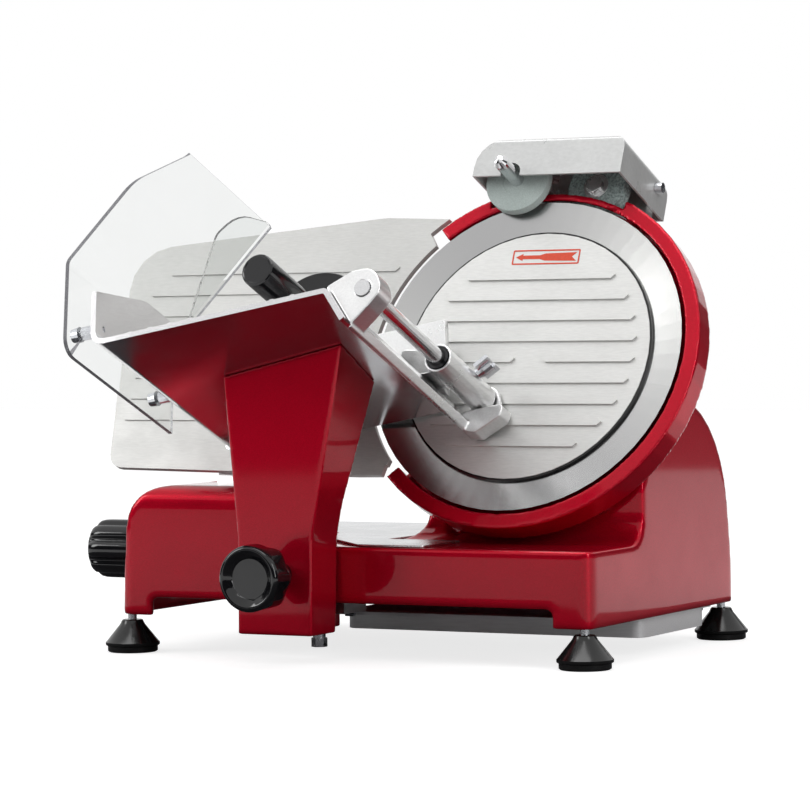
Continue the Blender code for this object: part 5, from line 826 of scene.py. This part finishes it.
stone_coarse = moulded("speckled_stone", (0.27, 0.33, 0.32), 0.82, 0.95, 45, 0.45, 0.55)
grind_seat = knife_seat @ Matrix.Translation(GRIND_PLACE) @ TO_FRONT
grinder = drawn_out("grinding_stone_disc", GRIND_RINGS, grind_seat)
grinder.data.materials.append(stone_coarse)
fit(grinder, "grinding_stone", "grinding_stone", "grinding_stone")
deburr_seat = knife_seat @ Matrix.Translation(DEBURR_PLACE) @ TO_FRONT
deburrer = drawn_out("deburring_stone_disc", DEBURR_RINGS, deburr_seat)
deburrer.data.materials.append(stone_fine)
fit(deburrer, "deburring_stone", "grinding_stone", "deburring_stone")
washer = drawn_out("stone_washer", WASHER_RINGS, grind_seat, 48)
washer.data.materials.append(satin)
fit(washer, "grinding_stone", "polished_steel")
nut = drawn_out("stone_nut", NUT_RINGS, grind_seat, 6, 20)
nut.data.materials.append(satin)
fit(nut, "grinding_stone", "polished_steel")

# Food tray.
# A thick aluminium sheet, bent up at its left and down at its right, with nine low ridges along its
# floor. It leans to the knife so that the food slides down by itself.
TRAY_EDGE = 0.0007
tray_sheet = metal("tray_sheet", (0.70, 0.69, 0.70), 0.15, 0.23, 900, (1, 0.10, 1), 0.04)
eased("food_tray", "carriage", tray_sheet, "aluminium", TRAY_EDGE)

# Hand guard.
# A bent sheet of clear polycarbonate beside the tray, with a folded wing at its far end. Two steel
# distance screws hold it to the tray's wall. Its edges and narrow bends are rougher than its faces, and
# painted grey as painted shade.
GUARD_EDGE = 0.0005
WIDE_FACE = 0.0006
BENT_STRIP = 0.00013
clear, tree, surface = new_finish("clear_polycarbonate")
surface.inputs["Base Color"].default_value = (0.90, 0.91, 0.905, 1)
surface.inputs["Transmission Weight"].default_value = 1.0
surface.inputs["IOR"].default_value = 1.15
add_life(tree, surface, 40, 0.02, 0.06)
# The edge finish: rough as sawn plastic is, and painted dark grey and less clear as painted shade for
# the dark lines at a clear sheet's edges.
edge_painted_shade, tree, surface = new_finish("polycarbonate_edge_painted_shade")
surface.inputs["Base Color"].default_value = (0.26, 0.26, 0.28, 1)
surface.inputs["Transmission Weight"].default_value = 0.35
surface.inputs["IOR"].default_value = 1.3
add_life(tree, surface, 300, 0.15, 0.35)
guard = copy_of("hand_guard", clear)
guard.data.materials.append(edge_painted_shade)
edge = guard.modifiers.new("filed edge", "BEVEL")
edge.width = GUARD_EDGE
edge.segments = 2
edge.limit_method = "ANGLE"
edge.angle_limit = math.radians(40)
bpy.ops.object.modifier_apply(modifier="filed edge")
to_tray = tray_seat.to_3x3().inverted()
# Edge faces, bevel strips and narrow bend facets take the painted-shade edge finish; wide faces stay
# clear.
for face in guard.data.polygons:
    facing = to_tray @ face.normal
    if abs(facing.y) > 0.5:
        face.material_index = 0 if face.area > WIDE_FACE else 1
        continue
    bearing = math.degrees(math.atan2(facing.z, facing.x))
    bearing = (bearing + 90) % 180 - 90
    across = -50 < bearing < 5
    face.material_index = 0 if across and face.area > BENT_STRIP else 1
bpy.ops.object.shade_smooth_by_angle(angle=math.radians(20))
true_faces(guard)
fit(guard, "carriage", "clear_plastic", "hand_guard")
dress(("guard_screw_near", "guard_screw_far"), zinc)

# Rod bracket and pusher rod.
# A tumbled aluminium casting screwed under the tray's right edge: a lug at the near end and a cradle at
# the knife hold the polished rod that the pusher slides on.
BRACKET_GRAIN = 0.0009
BRACKET_RUBS = 3
cast_skin("rod_bracket", "carriage", satin, "aluminium", BRACKET_GRAIN, BRACKET_RUBS)
dress(["pusher_rod"], chrome)

# Food pusher.
# A cast arm with a plastic bush slides and swings on the rod. It carries a toothed plate that holds the
# food, and a black handle with a round shield for the fingers.
pusher_seat = tray_seat @ Matrix.Translation((-0.0317, 0, -0.0347))
handle_seat = pusher_seat @ Matrix.Translation((-0.0818, 0, 0.0322)) @ TO_FRONT
GRIP_RINGS = ((0.0105, 0.1215), (0.0120, 0.1217), (0.0125, 0.1226), (0.0125, 0.2132), (0.0122, 0.2143),
              (0.0114, 0.2149), (0.0104, 0.2150), (0.0100, 0.2146))
SHIELD_RINGS = ((0.0290, 0.1178), (0.0345, 0.1190), (0.0396, 0.1208), (0.0400, 0.1214), (0.0398, 0.1222),
                (0.0388, 0.1234), (0.0380, 0.1232), (0.0300, 0.1213), (0.0140, 0.1213))
SHIELD_FLOOR = -0.0260
PLATE_EDGE = 0.0004
cast_skin("pusher_arm", "pusher", satin, "aluminium", BRACKET_GRAIN, BRACKET_RUBS)
eased("pusher_plate", "pusher", satin, "aluminium", PLATE_EDGE)
dress(["pusher_stem"], chrome)
dress(["pusher_bush"], black_gloss)
dress(["wing_screw"], zinc)
grip = drawn_out("pusher_handle_grip", GRIP_RINGS, handle_seat, 72)
grip.data.materials.append(black_gloss)
fit(grip, "pusher", "black_plastic", "pusher_handle")
shield = drawn_out("pusher_shield_disc", SHIELD_RINGS, Matrix.Identity(4), 96)
bpy.ops.object.mode_set(mode="EDIT")
bpy.ops.mesh.select_all(action="SELECT")
bpy.ops.mesh.bisect(plane_co=(0, SHIELD_FLOOR, 0), plane_no=(0, 1, 0), use_fill=True, clear_inner=True)
bpy.ops.object.mode_set(mode="OBJECT")
bpy.ops.object.shade_smooth_by_angle(angle=math.radians(28))
shield.matrix_world = handle_seat
bpy.ops.object.transform_apply(location=True, rotation=True, scale=True)
shield.data.materials.append(black_gloss)
fit(shield, "pusher", "black_plastic", "pusher_shield")

# Switch and cable inlet.
# A black plate on the left end carries a green start button and a red stop button, and a black gland
# at the back holds the mains lead.
SWITCH_EDGE = 0.0006
green = moulded("green_button", (0.02, 0.30, 0.08), 0.22, 0.32)
red_plastic = moulded("red_button", (0.55, 0.02, 0.02), 0.22, 0.32)
eased("switch_plate", "base", black_gloss, "black_plastic", SWITCH_EDGE)
dress(["cable_gland"], black_gloss)
dress(["start_button"], green)
dress(["stop_button"], red_plastic)
